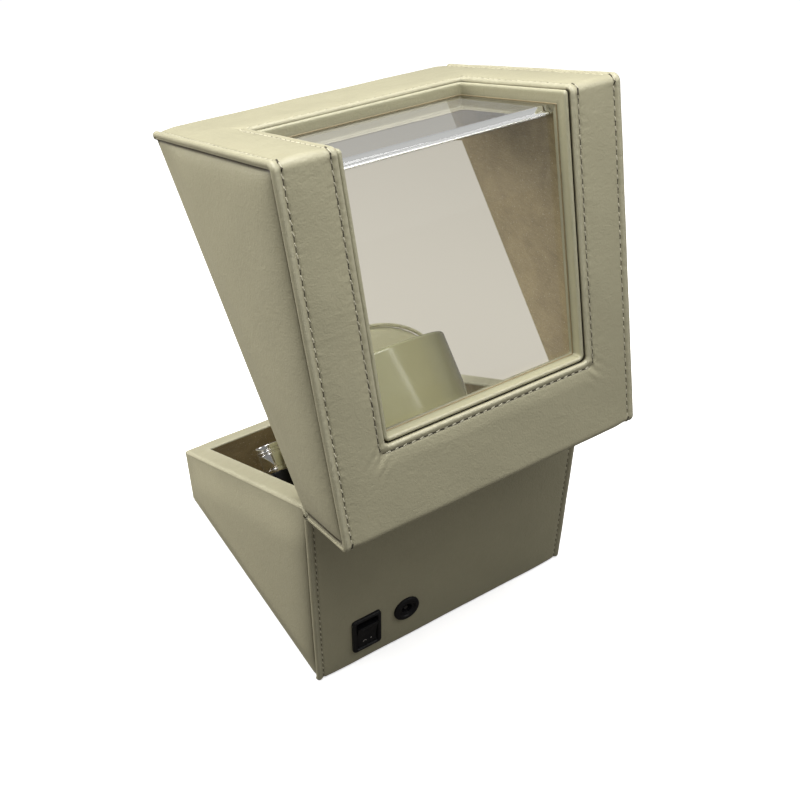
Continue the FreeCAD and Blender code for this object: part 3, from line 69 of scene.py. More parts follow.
joints = {joint["name"]: joint for joint in frame["joints"]}
HINGE_Y, HINGE_Z = (value / MM for value in joints["lid_hinge"]["pos_m"][1:])
SWING = math.radians(joints["lid_hinge"]["range_deg"][1])
FOOT = np.array(joints["drum_spin"]["pos_m"]) / MM
KNOB_FOOT = np.array(joints["knob_turn"]["pos_m"]) / MM
ROCKER_AT = np.array(joints["rocker_tilt"]["pos_m"]) / MM
AXIS = np.array(joints["drum_spin"]["axis"])
UPHILL = np.array([0.0, AXIS[2], -AXIS[1]])
ACROSS = np.array([1.0, 0.0, 0.0])


def turned(points, angle):
    """Points turned about the lid's hinge axis."""
    out = np.array(points, float)
    y, z = out[..., 1] - HINGE_Y, out[..., 2] - HINGE_Z
    out[..., 1] = HINGE_Y + y * math.cos(angle) - z * math.sin(angle)
    out[..., 2] = HINGE_Z + y * math.sin(angle) + z * math.cos(angle)
    return out


def opened(points):
    return turned(points, -SWING)


def cad_points(node):
    mesh = frame["nodes"][node].data
    flat = np.zeros(len(mesh.vertices) * 3)
    mesh.vertices.foreach_get("co", flat)
    return flat.reshape(-1, 3) / MM


def box_of(node):
    low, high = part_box(node)
    return np.array(low) / MM, np.array(high) / MM


def closed_box(node):
    points = turned(cad_points(node), SWING)
    return points.min(0), points.max(0)


wrap_low, wrap_high = closed_box("lid_wrap_leather")
FRONT = wrap_low[1]
HALF, REAR, TOP = wrap_high
INNER, BASE_FRONT = box_of("base_front_lining")[1][:2]
BASE_REAR = box_of("base_side_linings")[1][1]
LID_FRONT = closed_box("lid_front_lining")[1][1]
LID_REAR = closed_box("lid_rear_lining")[0][1]
PLAY = 0.3
frame_low, frame_high = closed_box("window_frame")
WINDOW_HALF, WINDOW_REAR = frame_high[0] + PLAY, frame_high[1] + PLAY
WINDOW_LOW = frame_low[2] - PLAY
pane_low, pane_high = closed_box("window_pane")
PANE_HALF, PANE_REAR, PANE_LOW = pane_high[0], pane_high[1], pane_low[2]
PANE_DROP = TOP - pane_high[2]
PANE_THICK = 3.0

# The two rims lie along a slanted plane through the hinge, and fall away behind it to let the
# lid open.
RIM_SLOPE, BASE_BEVEL, LID_BEVEL = (math.radians(angle) for angle in (28, -32, 43))
GAP = 0.3


def rim_plane(y, slope, gap):
    """The height of a sloping plane through the hinge, moved square to itself by a gap."""
    return HINGE_Z + (y - HINGE_Y) * math.tan(slope) + gap / math.cos(slope)


def base_rim(y):
    return np.minimum(rim_plane(y, RIM_SLOPE, -GAP), rim_plane(y, BASE_BEVEL, -GAP))


def lid_rim(y):
    return np.maximum(rim_plane(y, RIM_SLOPE, GAP), rim_plane(y, LID_BEVEL, GAP))


# ---------------------------------------------------------------- materials


class Nodes:
    """A short way to build the node tree of a new material or world."""

    def __init__(self, name, owners=None):
        owners = bpy.data.materials if owners is None else owners
        self.owner = owners.new(name)
        self.owner.use_nodes = True
        self.tree = self.owner.node_tree
        self.tree.nodes.clear()
        self.coords = self.add("ShaderNodeTexCoord").outputs["Object"]

    def add(self, kind, inputs=(), **settings):
        made = self.tree.nodes.new(kind)
        for key, value in settings.items():
            setattr(made, key, value)
        for key, value in dict(inputs).items():
            if isinstance(value, bpy.types.NodeSocket):
                self.tree.links.new(value, made.inputs[key])
            else:
                made.inputs[key].default_value = value
        return made

    def noise(self, size_mm, detail=3.0, rough=0.55, distortion=0.0, vector=None):
        """Noise whose blotches are about size_mm across."""
        inputs = {
            "Vector": vector or self.coords,
            "Scale": 1 / (size_mm * MM),
            "Detail": detail,
            "Roughness": rough,
            "Distortion": distortion,
        }
        return self.add("ShaderNodeTexNoise", inputs).outputs["Fac"]

    def stretched(self, x, y, z):
        inputs = {"Vector": self.coords, "Scale": (x, y, z)}
        return self.add("ShaderNodeMapping", inputs).outputs["Vector"]

    def cells(self, size_mm):
        inputs = {"Vector": self.coords, "Scale": 1 / (size_mm * MM)}
        made = self.add("ShaderNodeTexVoronoi", inputs, feature="SMOOTH_F1")
        return made.outputs["Distance"]

    def range(self, value, low, high, to_low=0.0, to_high=1.0):
        inputs = {"Value": value, "From Min": low, "From Max": high}
        inputs.update({"To Min": to_low, "To Max": to_high})
        return self.add("ShaderNodeMapRange", inputs).outputs["Result"]

    def math(self, operation, a, b):
        return self.add("ShaderNodeMath", {0: a, 1: b}, operation=operation).outputs[0]

    def mix(self, factor, a, b):
        made = self.add("ShaderNodeMix", data_type="RGBA")
        inputs = {"Factor": factor, "A": a, "B": b}
        for socket in (s for s in made.inputs if s.enabled and s.name in inputs):
            value = inputs[socket.name]
            if isinstance(value, bpy.types.NodeSocket):
                self.tree.links.new(value, socket)
            else:
                socket.default_value = (*value, 1.0) if isinstance(value, tuple) else value
        return next(o for o in made.outputs if o.enabled)

    def mark(self, name):
        """A value painted on the mesh's points: painted shade or pale wear."""
        return self.add("ShaderNodeAttribute", attribute_name=name).outputs["Fac"]

    def bump(self, height, strength, depth_mm, normal=None):
        inputs = {"Height": height, "Strength": strength, "Distance": depth_mm * MM}
        if normal is not None:
            inputs["Normal"] = normal
        return self.add("ShaderNodeBump", inputs).outputs["Normal"]

    def light_path(self):
        return self.add("ShaderNodeLightPath").outputs

    def past_pane(self, path):
        """1 for a ray that came through the pane or was guided inside it, and 0 for others."""
        guided = self.math("GREATER_THAN", path["Transparent Depth"], 0.5)
        guided = self.math("MULTIPLY", guided, path["Is Glossy Ray"])
        return self.math("MAXIMUM", path["Is Transmission Ray"], guided)

    def finish(self, shader, output="ShaderNodeOutputMaterial"):
        self.add(output, {"Surface": shader})
        return self.owner

    def principled(self, **sockets):
        inputs = {}
        for key, value in sockets.items():
            if isinstance(value, tuple) and len(value) == 3:
                value = (*value, 1.0)
            inputs[key.replace("_", " ")] = value
        return self.finish(self.add("ShaderNodeBsdfPrincipled", inputs).outputs[0])


def shaded(colour, by):
    return tuple(min(1.0, channel * by) for channel in colour)


# Painted shade: the near-black that the leather is darkened to in creases, grooves, gaps and
# recesses.
PAINTED_CREASE_SHADE = (0.07, 0.06, 0.04)
WORN = (0.62, 0.60, 0.46)
SPECK = (0.75, 0.68, 0.56)
SOILING = (0.82, 0.76, 0.6)


def leather(name, colour, roughness=0.42):
    n = Nodes(name)
    broad = n.range(n.noise(45, 2.0), 0.35, 0.65)
    tone = n.mix(broad, shaded(colour, 0.955), shaded(colour, 1.02))
    mottle = n.range(n.noise(3.2, 4.0, 0.6), 0.3, 0.75, 0.0, 0.35)
    tone = n.mix(mottle, tone, shaded(colour, 0.9))
    soiled = n.range(n.noise(9, 5.0, 0.65, 0.6), 0.66, 0.8, 0.0, 0.4)
    tone = n.mix(soiled, tone, tuple(c * by for c, by in zip(colour, SOILING)))
    worn = n.math("MULTIPLY", n.mark("worn"), n.range(n.noise(2.5, 3.0), 0.3, 0.7, 0.4, 1.0))
    tone = n.mix(worn, tone, WORN)
    # painted shade: darkens the leather where the points are marked as lying in shade
    tone = n.mix(n.mark("crease"), tone, PAINTED_CREASE_SHADE)
    normal = n.bump(n.noise(5.5, 6.0, 0.62, 1.4), 0.4, 0.5)
    normal = n.bump(n.cells(0.75), 0.45, 0.14, normal)
    normal = n.bump(n.noise(0.35, 2.0), 0.22, 0.07, normal)
    gloss = n.range(n.noise(6, 4.0), 0.3, 0.7, roughness - 0.05, roughness + 0.09)
    return n.principled(Base_Color=tone, Roughness=gloss, Normal=normal, Specular_IOR_Level=0.5)


def suede(name, colour):
    n = Nodes(name)
    nap = n.range(n.noise(14, 4.0, 0.6, 0.8), 0.34, 0.66)
    tone = n.mix(nap, shaded(colour, 0.8), shaded(colour, 1.16))
    fine = n.noise(1.1, 4.0, 0.7)
    tone = n.mix(n.range(fine, 0.35, 0.7, 0.0, 0.55), tone, shaded(colour, 0.72))
    tone = n.mix(n.range(n.noise(0.7, 1.0), 0.66, 0.76, 0.0, 0.7), tone, SPECK)
    brushed = n.noise(1.1, 4.0, 0.6, 0.8, n.stretched(0.25, 0.25, 1.3))
    tone = n.mix(n.range(brushed, 0.4, 0.65, 0.0, 0.3), tone, shaded(colour, 1.35))
    normal = n.bump(brushed, 0.4, 0.4)
    normal = n.bump(fine, 0.35, 0.35, normal)
    normal = n.bump(n.noise(0.3, 2.0, 0.6), 0.5, 0.2, normal)
    return n.principled(
        Base_Color=tone,
        Roughness=0.95,
        Normal=normal,
        Specular_IOR_Level=0.15,
        Sheen_Weight=0.25,
        Sheen_Roughness=0.5,
    )


def plastic(name, colour, roughness, blotch=0.06, bump=0.05, **extra):
    n = Nodes(name)
    blotches = n.range(n.noise(8, 3.0), 0.35, 0.65)
    tone = n.mix(blotches, shaded(colour, 1 - blotch), shaded(colour, 1 + blotch))
    smear = n.noise(5, 4.0, 0.6, 0.5)
    gloss = n.range(smear, 0.3, 0.7, max(0.03, roughness * 0.8), roughness * 1.25)
    normal = n.bump(n.noise(0.5, 2.0), bump, 0.06)
    return n.principled(Base_Color=tone, Roughness=gloss, Normal=normal, **extra)


def metal(name, colour, roughness, stretch=(1, 1, 1), bump=0.06):
    n = Nodes(name)
    brushed = n.noise(0.8, 3.0, 0.6, vector=n.stretched(*stretch))
    tone = n.mix(n.range(brushed, 0.3, 0.7), shaded(colour, 0.92), shaded(colour, 1.05))
    gloss = n.range(n.noise(3, 3.0), 0.3, 0.7, roughness * 0.75, roughness * 1.3)
    normal = n.bump(brushed, bump, 0.05)
    return n.principled(Base_Color=tone, Metallic=1.0, Roughness=gloss, Normal=normal)


def board(name, colour):
    n = Nodes(name)
    fibre = n.noise(1.2, 5.0, 0.7, 0.4, n.stretched(1, 1, 3))
    tone = n.mix(n.range(fibre, 0.3, 0.7), shaded(colour, 0.75), shaded(colour, 1.12))
    return n.principled(Base_Color=tone, Roughness=0.88, Normal=n.bump(fibre, 0.3, 0.25))


def clear(name):
    """Clear acrylic. Shadow, diffuse and trapped rays pass straight through it."""
    n = Nodes(name)
    haze = n.range(n.noise(12, 4.0, 0.6, 0.5), 0.45, 0.75, 0.0, 0.05)
    inputs = {
        "Base Color": n.mix(haze, (0.97, 0.975, 0.965), (0.93, 0.93, 0.91)),
        "Roughness": n.range(n.noise(7, 4.0), 0.55, 0.8, 0.0, 0.06),
        "IOR": 1.49,
        "Transmission Weight": 1.0,
    }
    glass = n.add("ShaderNodeBsdfPrincipled", inputs).outputs[0]
    through = n.add("ShaderNodeBsdfTransparent", {"Color": (0.95, 0.955, 0.945, 1.0)}).outputs[0]
    path = n.light_path()
    passing = n.math("MAXIMUM", path["Is Shadow Ray"], path["Is Diffuse Ray"])
    trapped = n.math("GREATER_THAN", path["Ray Depth"], 1.5)
    passing = n.math("MAXIMUM", passing, trapped)
    shader = n.add("ShaderNodeMixShader", {0: passing, 1: glass, 2: through})
    return n.finish(shader.outputs[0])


def solder_mask(name):
    n = Nodes(name)
    inputs = {"Vector": n.coords, "Scale": 300.0, "Mortar Size": 0.03}
    tracks = n.add("ShaderNodeTexBrick", inputs).outputs["Fac"]
    tone = n.mix(tracks, (0.03, 0.17, 0.07), (0.06, 0.27, 0.11))
    return n.principled(Base_Color=tone, Roughness=0.35, Normal=n.bump(tracks, 0.2, 0.05))


gloss_coat = {"Coat_Weight": 0.35, "Coat_Roughness": 0.06}
cream_gloss = plastic("cream_gloss_plastic", (0.385, 0.37, 0.215), 0.18, 0.02, 0.03, **gloss_coat)
black = plastic(
    "black_moulded_plastic", (0.005, 0.005, 0.006), 0.5, 0.2, 0.15, Specular_IOR_Level=0.3
)
MATERIALS = {
    "leather": leather("cream_leather", (0.42, 0.395, 0.268)),
    # painted shade: a slightly darker copy of the cream leather, for the sunken window reveal
    "frame_leather": leather("frame_leather_shaded_copy", (0.40, 0.38, 0.25), 0.5),
    "pillow_leather": leather("pillow_leather_skin", (0.60, 0.57, 0.375), 0.45),
    "suede": suede("taupe_suede", (0.335, 0.27, 0.155)),
    "felt": suede("dark_felt", (0.12, 0.1, 0.08)),
    "fibreboard": board("raw_fibreboard", (0.55, 0.43, 0.3)),
    "clear_acrylic": clear("clear_acrylic_sheet"),
    "cream_gloss": cream_gloss,
    "chrome": metal("polished_chrome", (0.86, 0.85, 0.83), 0.1),
    "steel": metal("plated_steel", (0.62, 0.61, 0.6), 0.32, (1, 6, 6), 0.15),
    "black_plastic": black,
    "nylon": plastic("white_nylon", (0.82, 0.81, 0.75), 0.45),
    "pinion_brass": metal("turned_brass", (0.78, 0.6, 0.28), 0.25),
    "circuit_board": solder_mask("green_solder_mask"),
    "electronic_parts": plastic("component_plastic", (0.05, 0.05, 0.055), 0.4),
    "wire": plastic("wire_sleeve", (0.45, 0.04, 0.03), 0.4),
}
THREAD = plastic("cream_thread", (0.58, 0.55, 0.42), 0.75, 0.12, 0.5)
# painted shadow: near-black colour for the marks that stand for the shade in the stitch holes
STITCH_SHADOW_MARK = plastic("stitch_shadow", (0.06, 0.052, 0.036), 0.9)
GLUE_LINE = plastic("brown_glue_line", (0.25, 0.2, 0.11), 0.5)
# painted shade: the inlet's pin is near-black metal, standing for the shade deep in the socket
SHADED_PIN_METAL = metal("inlet_pin_painted_shade", (0.1, 0.1, 0.1), 0.5)
PALE_MARK = plastic("pale_mark", (0.55, 0.53, 0.5), 0.6)

# ---------------------------------------------------------------- meshes


def new_object(name, data):
    obj = bpy.data.objects.new(name, data)
    bpy.context.scene.collection.objects.link(obj)
    return obj


def new_mesh(name, points, faces, marks=None):
    """A mesh from millimetre points. marks are values for the points by attribute name: painted
    shade and pale wear.
    """
    mesh = bpy.data.meshes.new(name)
    mesh.from_pydata((np.asarray(points, float) * MM).tolist(), [], faces)
    for key in ("crease", "worn"):
        layer = mesh.attributes.new(key, "FLOAT", "POINT")
        if key in (marks or {}):
            layer.data.foreach_set("value", np.clip(marks[key], 0, 1).astype(np.float32))
    mesh.update()
    return mesh


INSIDE = np.array([0.0, 0.0, 45.0])
LID_INSIDE = opened(np.array([0.0, 0.0, 118.0]))


def face_out(mesh, inside):
    """Turns faces outward: by volume on a closed mesh, away from a point inside on a sheet."""
    shape = bmesh.new()
    shape.from_mesh(mesh)
    if any(edge.is_boundary for edge in shape.edges):
        centre = Vector(inside * MM)
        ways = (f.normal.dot(f.calc_center_median() - centre) * f.calc_area() for f in shape.faces)
        if sum(ways) < 0:
            bmesh.ops.reverse_faces(shape, faces=shape.faces)
    else:
        bmesh.ops.recalc_face_normals(shape, faces=shape.faces)
    shape.to_mesh(mesh)
    shape.free()


def piece(name, points, faces, slot, body, marks=None, replaced=(), material=None, crisp=None):
    """An object from millimetre points, which for the lid are given with the lid closed.

    crisp is the angle in degrees from which an edge stays sharp.
    """
    on_lid = body == "lid"
    mesh = new_mesh(name, opened(points) if on_lid else points, faces, marks)
    face_out(mesh, LID_INSIDE if on_lid else INSIDE)
    obj = new_object(name, mesh)
    mesh.materials.append(material or MATERIALS[slot])
    mesh.shade_smooth()
    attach(obj, body)
    if replaced:
        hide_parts(*replaced)
    if crisp:
        mesh.set_sharp_from_angle(angle=math.radians(crisp))


def loft(loops, cap_first=False, cap_last=False, flip=False):
    """Points and faces of a skin over closed loops that all have the same number of points."""
    count = len(loops[0])
    points = np.concatenate([np.asarray(loop, float) for loop in loops])
    faces = []
    for row in range(len(loops) - 1):
        a, b = row * count, (row + 1) * count
        for k in range(count):
            m = (k + 1) % count
            faces.append((a + k, a + m, b + m, b + k))
    if cap_first:
        faces.append(tuple(range(count))[::-1])
    if cap_last:
        faces.append(tuple(range(len(points) - count, len(points))))
    if flip:
        faces = [face[::-1] for face in faces]
    return points, faces


def tube(loops):
    """A skin over loops that comes back to the first of them."""
    return loft([*loops, loops[0]])


def joined(parts):
    """Several (points, faces) as one."""
    points, faces, start = [], [], 0
    for some, quads in parts:
        points.append(np.asarray(some, float))
        faces += [tuple(k + start for k in face) for face in quads]
        start += len(some)
    return np.concatenate(points), faces


def smoothstep(low, high, value):
    t = np.clip((value - low) / (high - low), 0, 1)
    return t * t * (3 - 2 * t)


def sway(u, v, seed=0.0):
    """A slow unevenness between -1 and 1."""
    return (
        np.sin(0.071 * u + 0.043 * v + 1.3 + seed)
        + np.sin(0.113 * v - 0.057 * u + 2.1 * seed)
        + np.sin(0.19 * u + 0.16 * v + 0.4 - seed)
    ) / 3


def dip(distance, width):
    """1 on a line, falling to 0 on both sides of it over about a width."""
    return np.exp(-((distance / width) ** 2))


# ---------------------------------------------------------------- leather wrapped over corners


class Path:
    """A line in the YZ plane through rounded corners, measured by the length along it."""

    def __init__(self, corners, radii):
        corners = [np.array(c, float) for c in corners]
        self.parts = []
        at = corners[0]
        length = 0.0
        for k in range(1, len(corners)):
            ahead = corners[k] - corners[k - 1]
            ahead /= np.linalg.norm(ahead)
            if k < len(corners) - 1:
                after = corners[k + 1] - corners[k]
                after /= np.linalg.norm(after)
                bend = math.atan2(ahead[0] * after[1] - ahead[1] * after[0], ahead @ after)
                cut = radii[k - 1] * abs(math.tan(bend / 2))
                end = corners[k] - ahead * cut
            else:
                end = corners[k]
            run = np.linalg.norm(end - at)
            self.parts.append((length, run, at, ahead, 0.0, 0.0))
            length += run
            if k < len(corners) - 1:
                turn = radii[k - 1] * abs(bend)
                self.parts.append((length, turn, end, ahead, bend, radii[k - 1]))
                length += turn
                at = corners[k] + after * cut
        self.length = length

    def at(self, u):
        """Places and outward directions, with the outside on the left of the way along."""
        u = np.asarray(u, float)
        place, out = np.zeros((*u.shape, 2)), np.zeros((*u.shape, 2))
        for k, (start, run, origin, ahead, bend, radius) in enumerate(self.parts):
            low = start if k else -np.inf
            high = start + run if k < len(self.parts) - 1 else np.inf
            inside = (u >= low) & (u < high)
            t = u - start
            left = np.array([-ahead[1], ahead[0]])
            if bend == 0.0:
                where = origin + t[..., None] * ahead
                side = np.broadcast_to(left, where.shape)
            else:
                arm = radius * math.copysign(1, bend)
                cos, sin = np.cos(t / arm), np.sin(t / arm)
                side = np.stack([left[0] * cos - left[1] * sin, left[0] * sin + left[1] * cos], -1)
                where = origin + left * arm - side * arm
            place[inside], out[inside] = where[inside], side[inside]
        return place, out

    def find(self, y=None, z=None):
        """The length along at which the line first passes a height or a depth."""
        u = np.linspace(0, self.length, 20001)
        place, _ = self.at(u)
        gap = np.abs(place[:, 0] - y) if y is not None else np.abs(place[:, 1] - z)
        return float(u[np.argmin(gap)])


# The edge of a wrapped sheet: length across, place across, and height above the flat. It dips at
# the stitches, rises into a turned bead, rolls over the side and ends in the crease.
EDGE = np.array(
    [
        *((66.2, 66.2, 0.0), (66.9, 66.9, -0.12), (67.4, 67.4, -0.4), (67.9, 67.9, -0.08)),
        *((68.5, 68.5, 0.27), (69.2, 69.2, 0.4), (69.9, 69.85, 0.3), (70.5, 70.32, -0.05)),
        *((71.1, 70.62, -0.6), (71.7, 70.66, -1.2), (72.2, 70.42, -1.68), (72.55, 70.16, -1.9)),
        *((72.9, 70.2, -2.15), (73.3, 70.15, -2.45), (73.7, 69.75, -2.62), (74.3, 69.2, -2.7)),
        (75.2, 69.12, -3.6),
    ]
)
WIDER = HALF - 70.0
EDGE[:, :2] += WIDER
STITCH_LINE = 67.4 + WIDER
BEAD_TOP = 69.2 + WIDER
BEAD_FOOT = 72.5
# where the painted shade of the side crease starts and where it is full
CREASE_SHADE_FROM, CREASE_SHADE_FULL = 72.6, 74.0
BOARD_EDGE = 69.6
PITCH = 3.6
STEP, STEP_ACROSS = PITCH / 4, 1.6
PADDING = (66.5, 61)
ANY_DEPTH = 9

# A plain edge: the sheet goes round a soft corner and on along the side.
CORNER = 3.0
FLAT_TO = HALF - CORNER
corner_turns = np.arange(7) * math.pi / 12
round_corner = CORNER * np.array([corner_turns, np.sin(corner_turns), np.cos(corner_turns) - 1]).T
PLAIN_EDGE = np.array(
    [
        (FLAT_TO - 1, FLAT_TO - 1, 0.0),
        *((FLAT_TO, FLAT_TO, 0.0) + round_corner),
        (HALF + CORNER * 0.5708 + 0.4, HALF, -CORNER - 0.4),
    ]
)


def smooth_through(knots, values, at):
    """A curve through the knots with no overshoot to speak of."""
    slope = np.gradient(values, knots)
    k = np.clip(np.searchsorted(knots, at) - 1, 0, len(knots) - 2)
    width = knots[k + 1] - knots[k]
    t = np.clip((at - knots[k]) / width, 0, 1)
    a, b = values[k], values[k + 1]
    m, n = slope[k] * width, slope[k + 1] * width
    from_a = a * (1 + 2 * t) * (1 - t) ** 2 + m * t * (1 - t) ** 2
    return from_a + b * t * t * (3 - 2 * t) + n * t * t * (t - 1)


def edge_section(v, edge):
    """Place across and height for a length across, both sides."""
    away = np.abs(v)
    flat = away < edge[0, 0]
    x = np.where(flat, away, smooth_through(edge[:, 0], edge[:, 1], away))
    height = np.where(flat, 0.0, smooth_through(edge[:, 0], edge[:, 2], away))
    return np.sign(v) * x, height


def pull(along):
    """How hard the thread pulls along a seam: 1 at a stitch and 0 between two."""
    return 0.5 + 0.5 * np.cos(2 * math.pi * along / PITCH)


class Window:
    """A rectangular hole in a wrapped sheet, with rounded corners and a rolled lip."""

    ROUND, ROLL, STITCH = 1.9, 1.1, 2.7
    RINGS = (0.0, 0.08, 0.25, 0.5, 0.8, 1.1, 1.6, 2.2, 2.45, 2.7, 2.95, 3.3, 4.0, 5.0)
    # rows that turn the sheet down into the hole: depth, and painted shade that grows darker going
    # down
    LIP = ((0.45, 0.4), (0.95, 1.0), (2.6, 1.0))

    def __init__(self, low, high, half):
        self.low, self.high, self.half = low, high, half

    def outside(self, u, v):
        """How far a point is outside the hole along each way."""
        return np.abs(v) - self.half, np.maximum(self.low - u, u - self.high)

    def rounded(self, u, v):
        """The sheet's points, drawn round the hole's corners."""
        dv, du = self.outside(u, v)
        k = np.maximum(dv, du)
        other = np.minimum(dv, du)
        near = (k >= 0) & (-other < self.ROUND)
        share = (k - other) / (self.ROUND + np.maximum(k, 0))
        angle = math.pi / 4 * (1 + np.clip(share, 0, 1))
        long = -self.ROUND + (self.ROUND + k) * np.sin(angle)
        short = -self.ROUND + (self.ROUND + k) * np.cos(angle)
        blend = np.where(near, 1 - smoothstep(0.4, 4.0, k), 0.0)
        new_dv = np.where(dv >= du, long, short)
        new_du = np.where(dv >= du, short, long)
        moved_v = np.sign(v) * (self.half + dv + (new_dv - dv) * blend)
        shift = (new_du - du) * blend
        top = u > (self.low + self.high) / 2
        moved_u = np.where(top, self.high + du + shift, self.low - du - shift)
        far = blend == 0
        return np.where(far, u, moved_u), np.where(far, v, moved_v)


class Sheet:
    """A leather sheet wrapped along a path, with turned and stitched side edges.

    end_slope keeps the start of the sheet off a rim of that slope.
    """

    def __init__(
        self, path, window=None, pad=0.3, roll=1.0, seed=0.0, stitched=True, end_slope=0.0
    ):
        self.path, self.window, self.pad, self.roll, self.seed = path, window, pad, roll, seed
        self.stitched, self.end_slope = stitched, end_slope
        self.edge = EDGE if stitched else PLAIN_EDGE

    def relief(self, u, v):
        """Height above the flat: unevenness, padding, dips at the seams and rolled ends."""
        away = np.abs(v)
        lift = 0.14 * sway(u, v, self.seed)
        if self.stitched:
            side = away - STITCH_LINE
            uneven = 0.65 + 0.35 * np.sin(0.83 * u + self.seed) * np.sin(0.37 * u + 2)
            lift -= 0.16 * pull(u) * uneven * dip(side, 1.7)
            lift -= 0.14 * dip(side, 3.0)
        if self.window is None:
            lift += self.pad * smoothstep(66, 50, away)
        else:
            hole = self.window
            dv, du = hole.outside(u, v)
            k = np.maximum(dv, du)
            lift += self.pad * smoothstep(0, 6, k - hole.STITCH) * smoothstep(*PADDING, away)
            seam = k - hole.STITCH
            lift -= 0.34 * dip(seam, 0.5) + 0.12 * dip(seam, 2.4)
            lift -= 0.17 * pull(np.where(dv >= du, u, v)) * dip(seam, 1.7)
            corner = np.exp(-(((dv - 4) ** 2 + (du - 4) ** 2) / 30))
            lift += 0.2 * corner * np.sin(1.25 * (dv - du) + 0.6)
            lift -= rolled(k, hole.ROLL)
        return lift - rolled(np.minimum(u, self.path.length - u), self.roll)

    def point(self, u, v):
        """The sheet's surface, lid closed, with u along the path and v across."""
        last = self.edge[-1, 0]
        lift = self.relief(u, v) * smoothstep(last, last - 4.5, np.abs(v))
        lip = np.full(np.shape(v), np.inf)
        if self.window is not None:
            lip = np.maximum(*self.window.outside(u, v))
            u, v = self.window.rounded(u, v)
        x, height = edge_section(v, self.edge)
        place, out = self.path.at(u)
        lift = height + lift
        # on a fold the leather stays above the board's corner, which lies close under it
        deepest = -0.1 - ANY_DEPTH * (1 - self.near_fold(u)) - 0.6 * (1 - smoothstep(0.0, 1.1, lip))
        lift = np.where(np.abs(v) < BOARD_EDGE, np.maximum(lift, deepest), lift)
        yz = place + out * lift[..., None]
        yz[..., 1] -= np.minimum(lift, 0) * self.end_slope * smoothstep(8, 0, u)
        return np.concatenate([x[..., None], yz], -1)

    def near_fold(self, u):
        """1 on a fold and 0 away from it."""
        near = np.zeros(np.shape(u))
        for start, run, _, _, bend, _ in self.path.parts:
            if bend:
                away = np.abs(u - start - run / 2) - run / 2
                near = np.maximum(near, smoothstep(2.5, 0, away))
        return near

    def frame_at(self, u, v, du, dv):
        """A point with the way along a line on the sheet and the way out of it."""
        h = 0.15
        u, v = np.asarray(u, float), np.asarray(v, float)
        along = self.point(u + du * h, v + dv * h) - self.point(u - du * h, v - dv * h)
        across = self.point(u - dv * h, v + du * h) - self.point(u + dv * h, v - du * h)
        along /= np.linalg.norm(along, axis=-1, keepdims=True)
        out = np.cross(across, along)
        out /= np.linalg.norm(out, axis=-1, keepdims=True)
        return self.point(u, v), along, out

    def grid(self, holes):
        """Lines along and across, through every fold, edge, seam and hole."""
        ends = [0.0, self.roll * 0.35, self.roll]
        marks_u = ends + [self.path.length - end for end in ends]
        for start, run, _, _, bend, _ in self.path.parts:
            if bend:
                marks_u += [start + run * k / 8 for k in range(9)]
        knots = self.edge[:, 0]
        marks_v = [0.0, *knots, *((knots[:-1] + knots[1:]) / 2)]
        if self.window is not None:
            marks_v += [self.window.half + k for k in self.window.RINGS]
            marks_u += [self.window.low - k for k in self.window.RINGS]
            marks_u += [self.window.high + k for k in self.window.RINGS]
        if holes:
            marks_u += [x for hole in holes for x in hole[:2]]
            marks_v += [x for hole in holes for x in hole[2:]]
            v = grid_lines([*marks_v, *(-x for x in marks_v)], STEP_ACROSS)
        else:
            half_v = grid_lines(marks_v, STEP_ACROSS)
            v = np.concatenate([-half_v[:0:-1], half_v])
        return grid_lines(marks_u, STEP), v

    def shades(self, u, v):
        """Painted shade in the creases, the stitch grooves and at the rolled ends, and the pale of
        the worn edges.
        """
        away = np.abs(v)
        crease, worn = np.zeros(away.shape), np.zeros(away.shape)
        if self.stitched:
            # painted shade in the side crease, the stitch groove and at the bead's foot; pale wear
            # on the bead's top
            crease += 0.95 * smoothstep(CREASE_SHADE_FROM, CREASE_SHADE_FULL, away)
            crease += 0.28 * dip(away - STITCH_LINE, 0.45) + 0.4 * dip(away - BEAD_FOOT, 0.22)
            worn += 0.3 * dip(away - BEAD_TOP, 0.9)
        if self.window is not None:
            k = np.maximum(*self.window.outside(u, v))
            # painted shade in the window's stitch groove; pale wear at the hole's edge
            crease += 0.3 * dip(k - self.window.STITCH, 0.4)
            worn += 0.35 * smoothstep(1.8, 0.4, k) * (k > -0.01)
        # painted shade where the sheet's ends roll under
        ends = np.minimum(u, self.path.length - u)
        crease = np.maximum(crease, 0.75 * smoothstep(0.75, 0.25, ends))
        return {"crease": crease.reshape(-1), "worn": worn.reshape(-1)}

    def build(self, name, body, replaced, holes=()):
        """Makes the piece. Each hole is (low u, high u, low v, high v)."""
        u, v = self.grid(holes)
        columns = len(v)
        uu, vv = np.meshgrid(u, v, indexing="ij")
        points, shades = self.point(uu, vv).reshape(-1, 3), self.shades(uu, vv)
        mid_u, mid_v = (u[1:] + u[:-1])[:, None] / 2, (v[1:] + v[:-1])[None] / 2
        gone = np.zeros((len(u) - 1, columns - 1), bool)
        every = list(holes)
        if self.window is not None:
            hole = self.window
            every.append((hole.low, hole.high, -hole.half, hole.half))
        for low_u, high_u, low_v, high_v in every:
            gone |= (mid_u > low_u) & (mid_u < high_u) & (mid_v > low_v) & (mid_v < high_v)
        row, column = np.nonzero(~gone)
        a = row * columns + column
        faces = np.column_stack([a, a + columns, a + columns + 1, a + 1]).tolist()
        if self.window is not None:
            points, faces, shades = self.add_lip(points, faces, shades, u, v)
        piece(name, points, faces, "leather", body, shades, replaced)

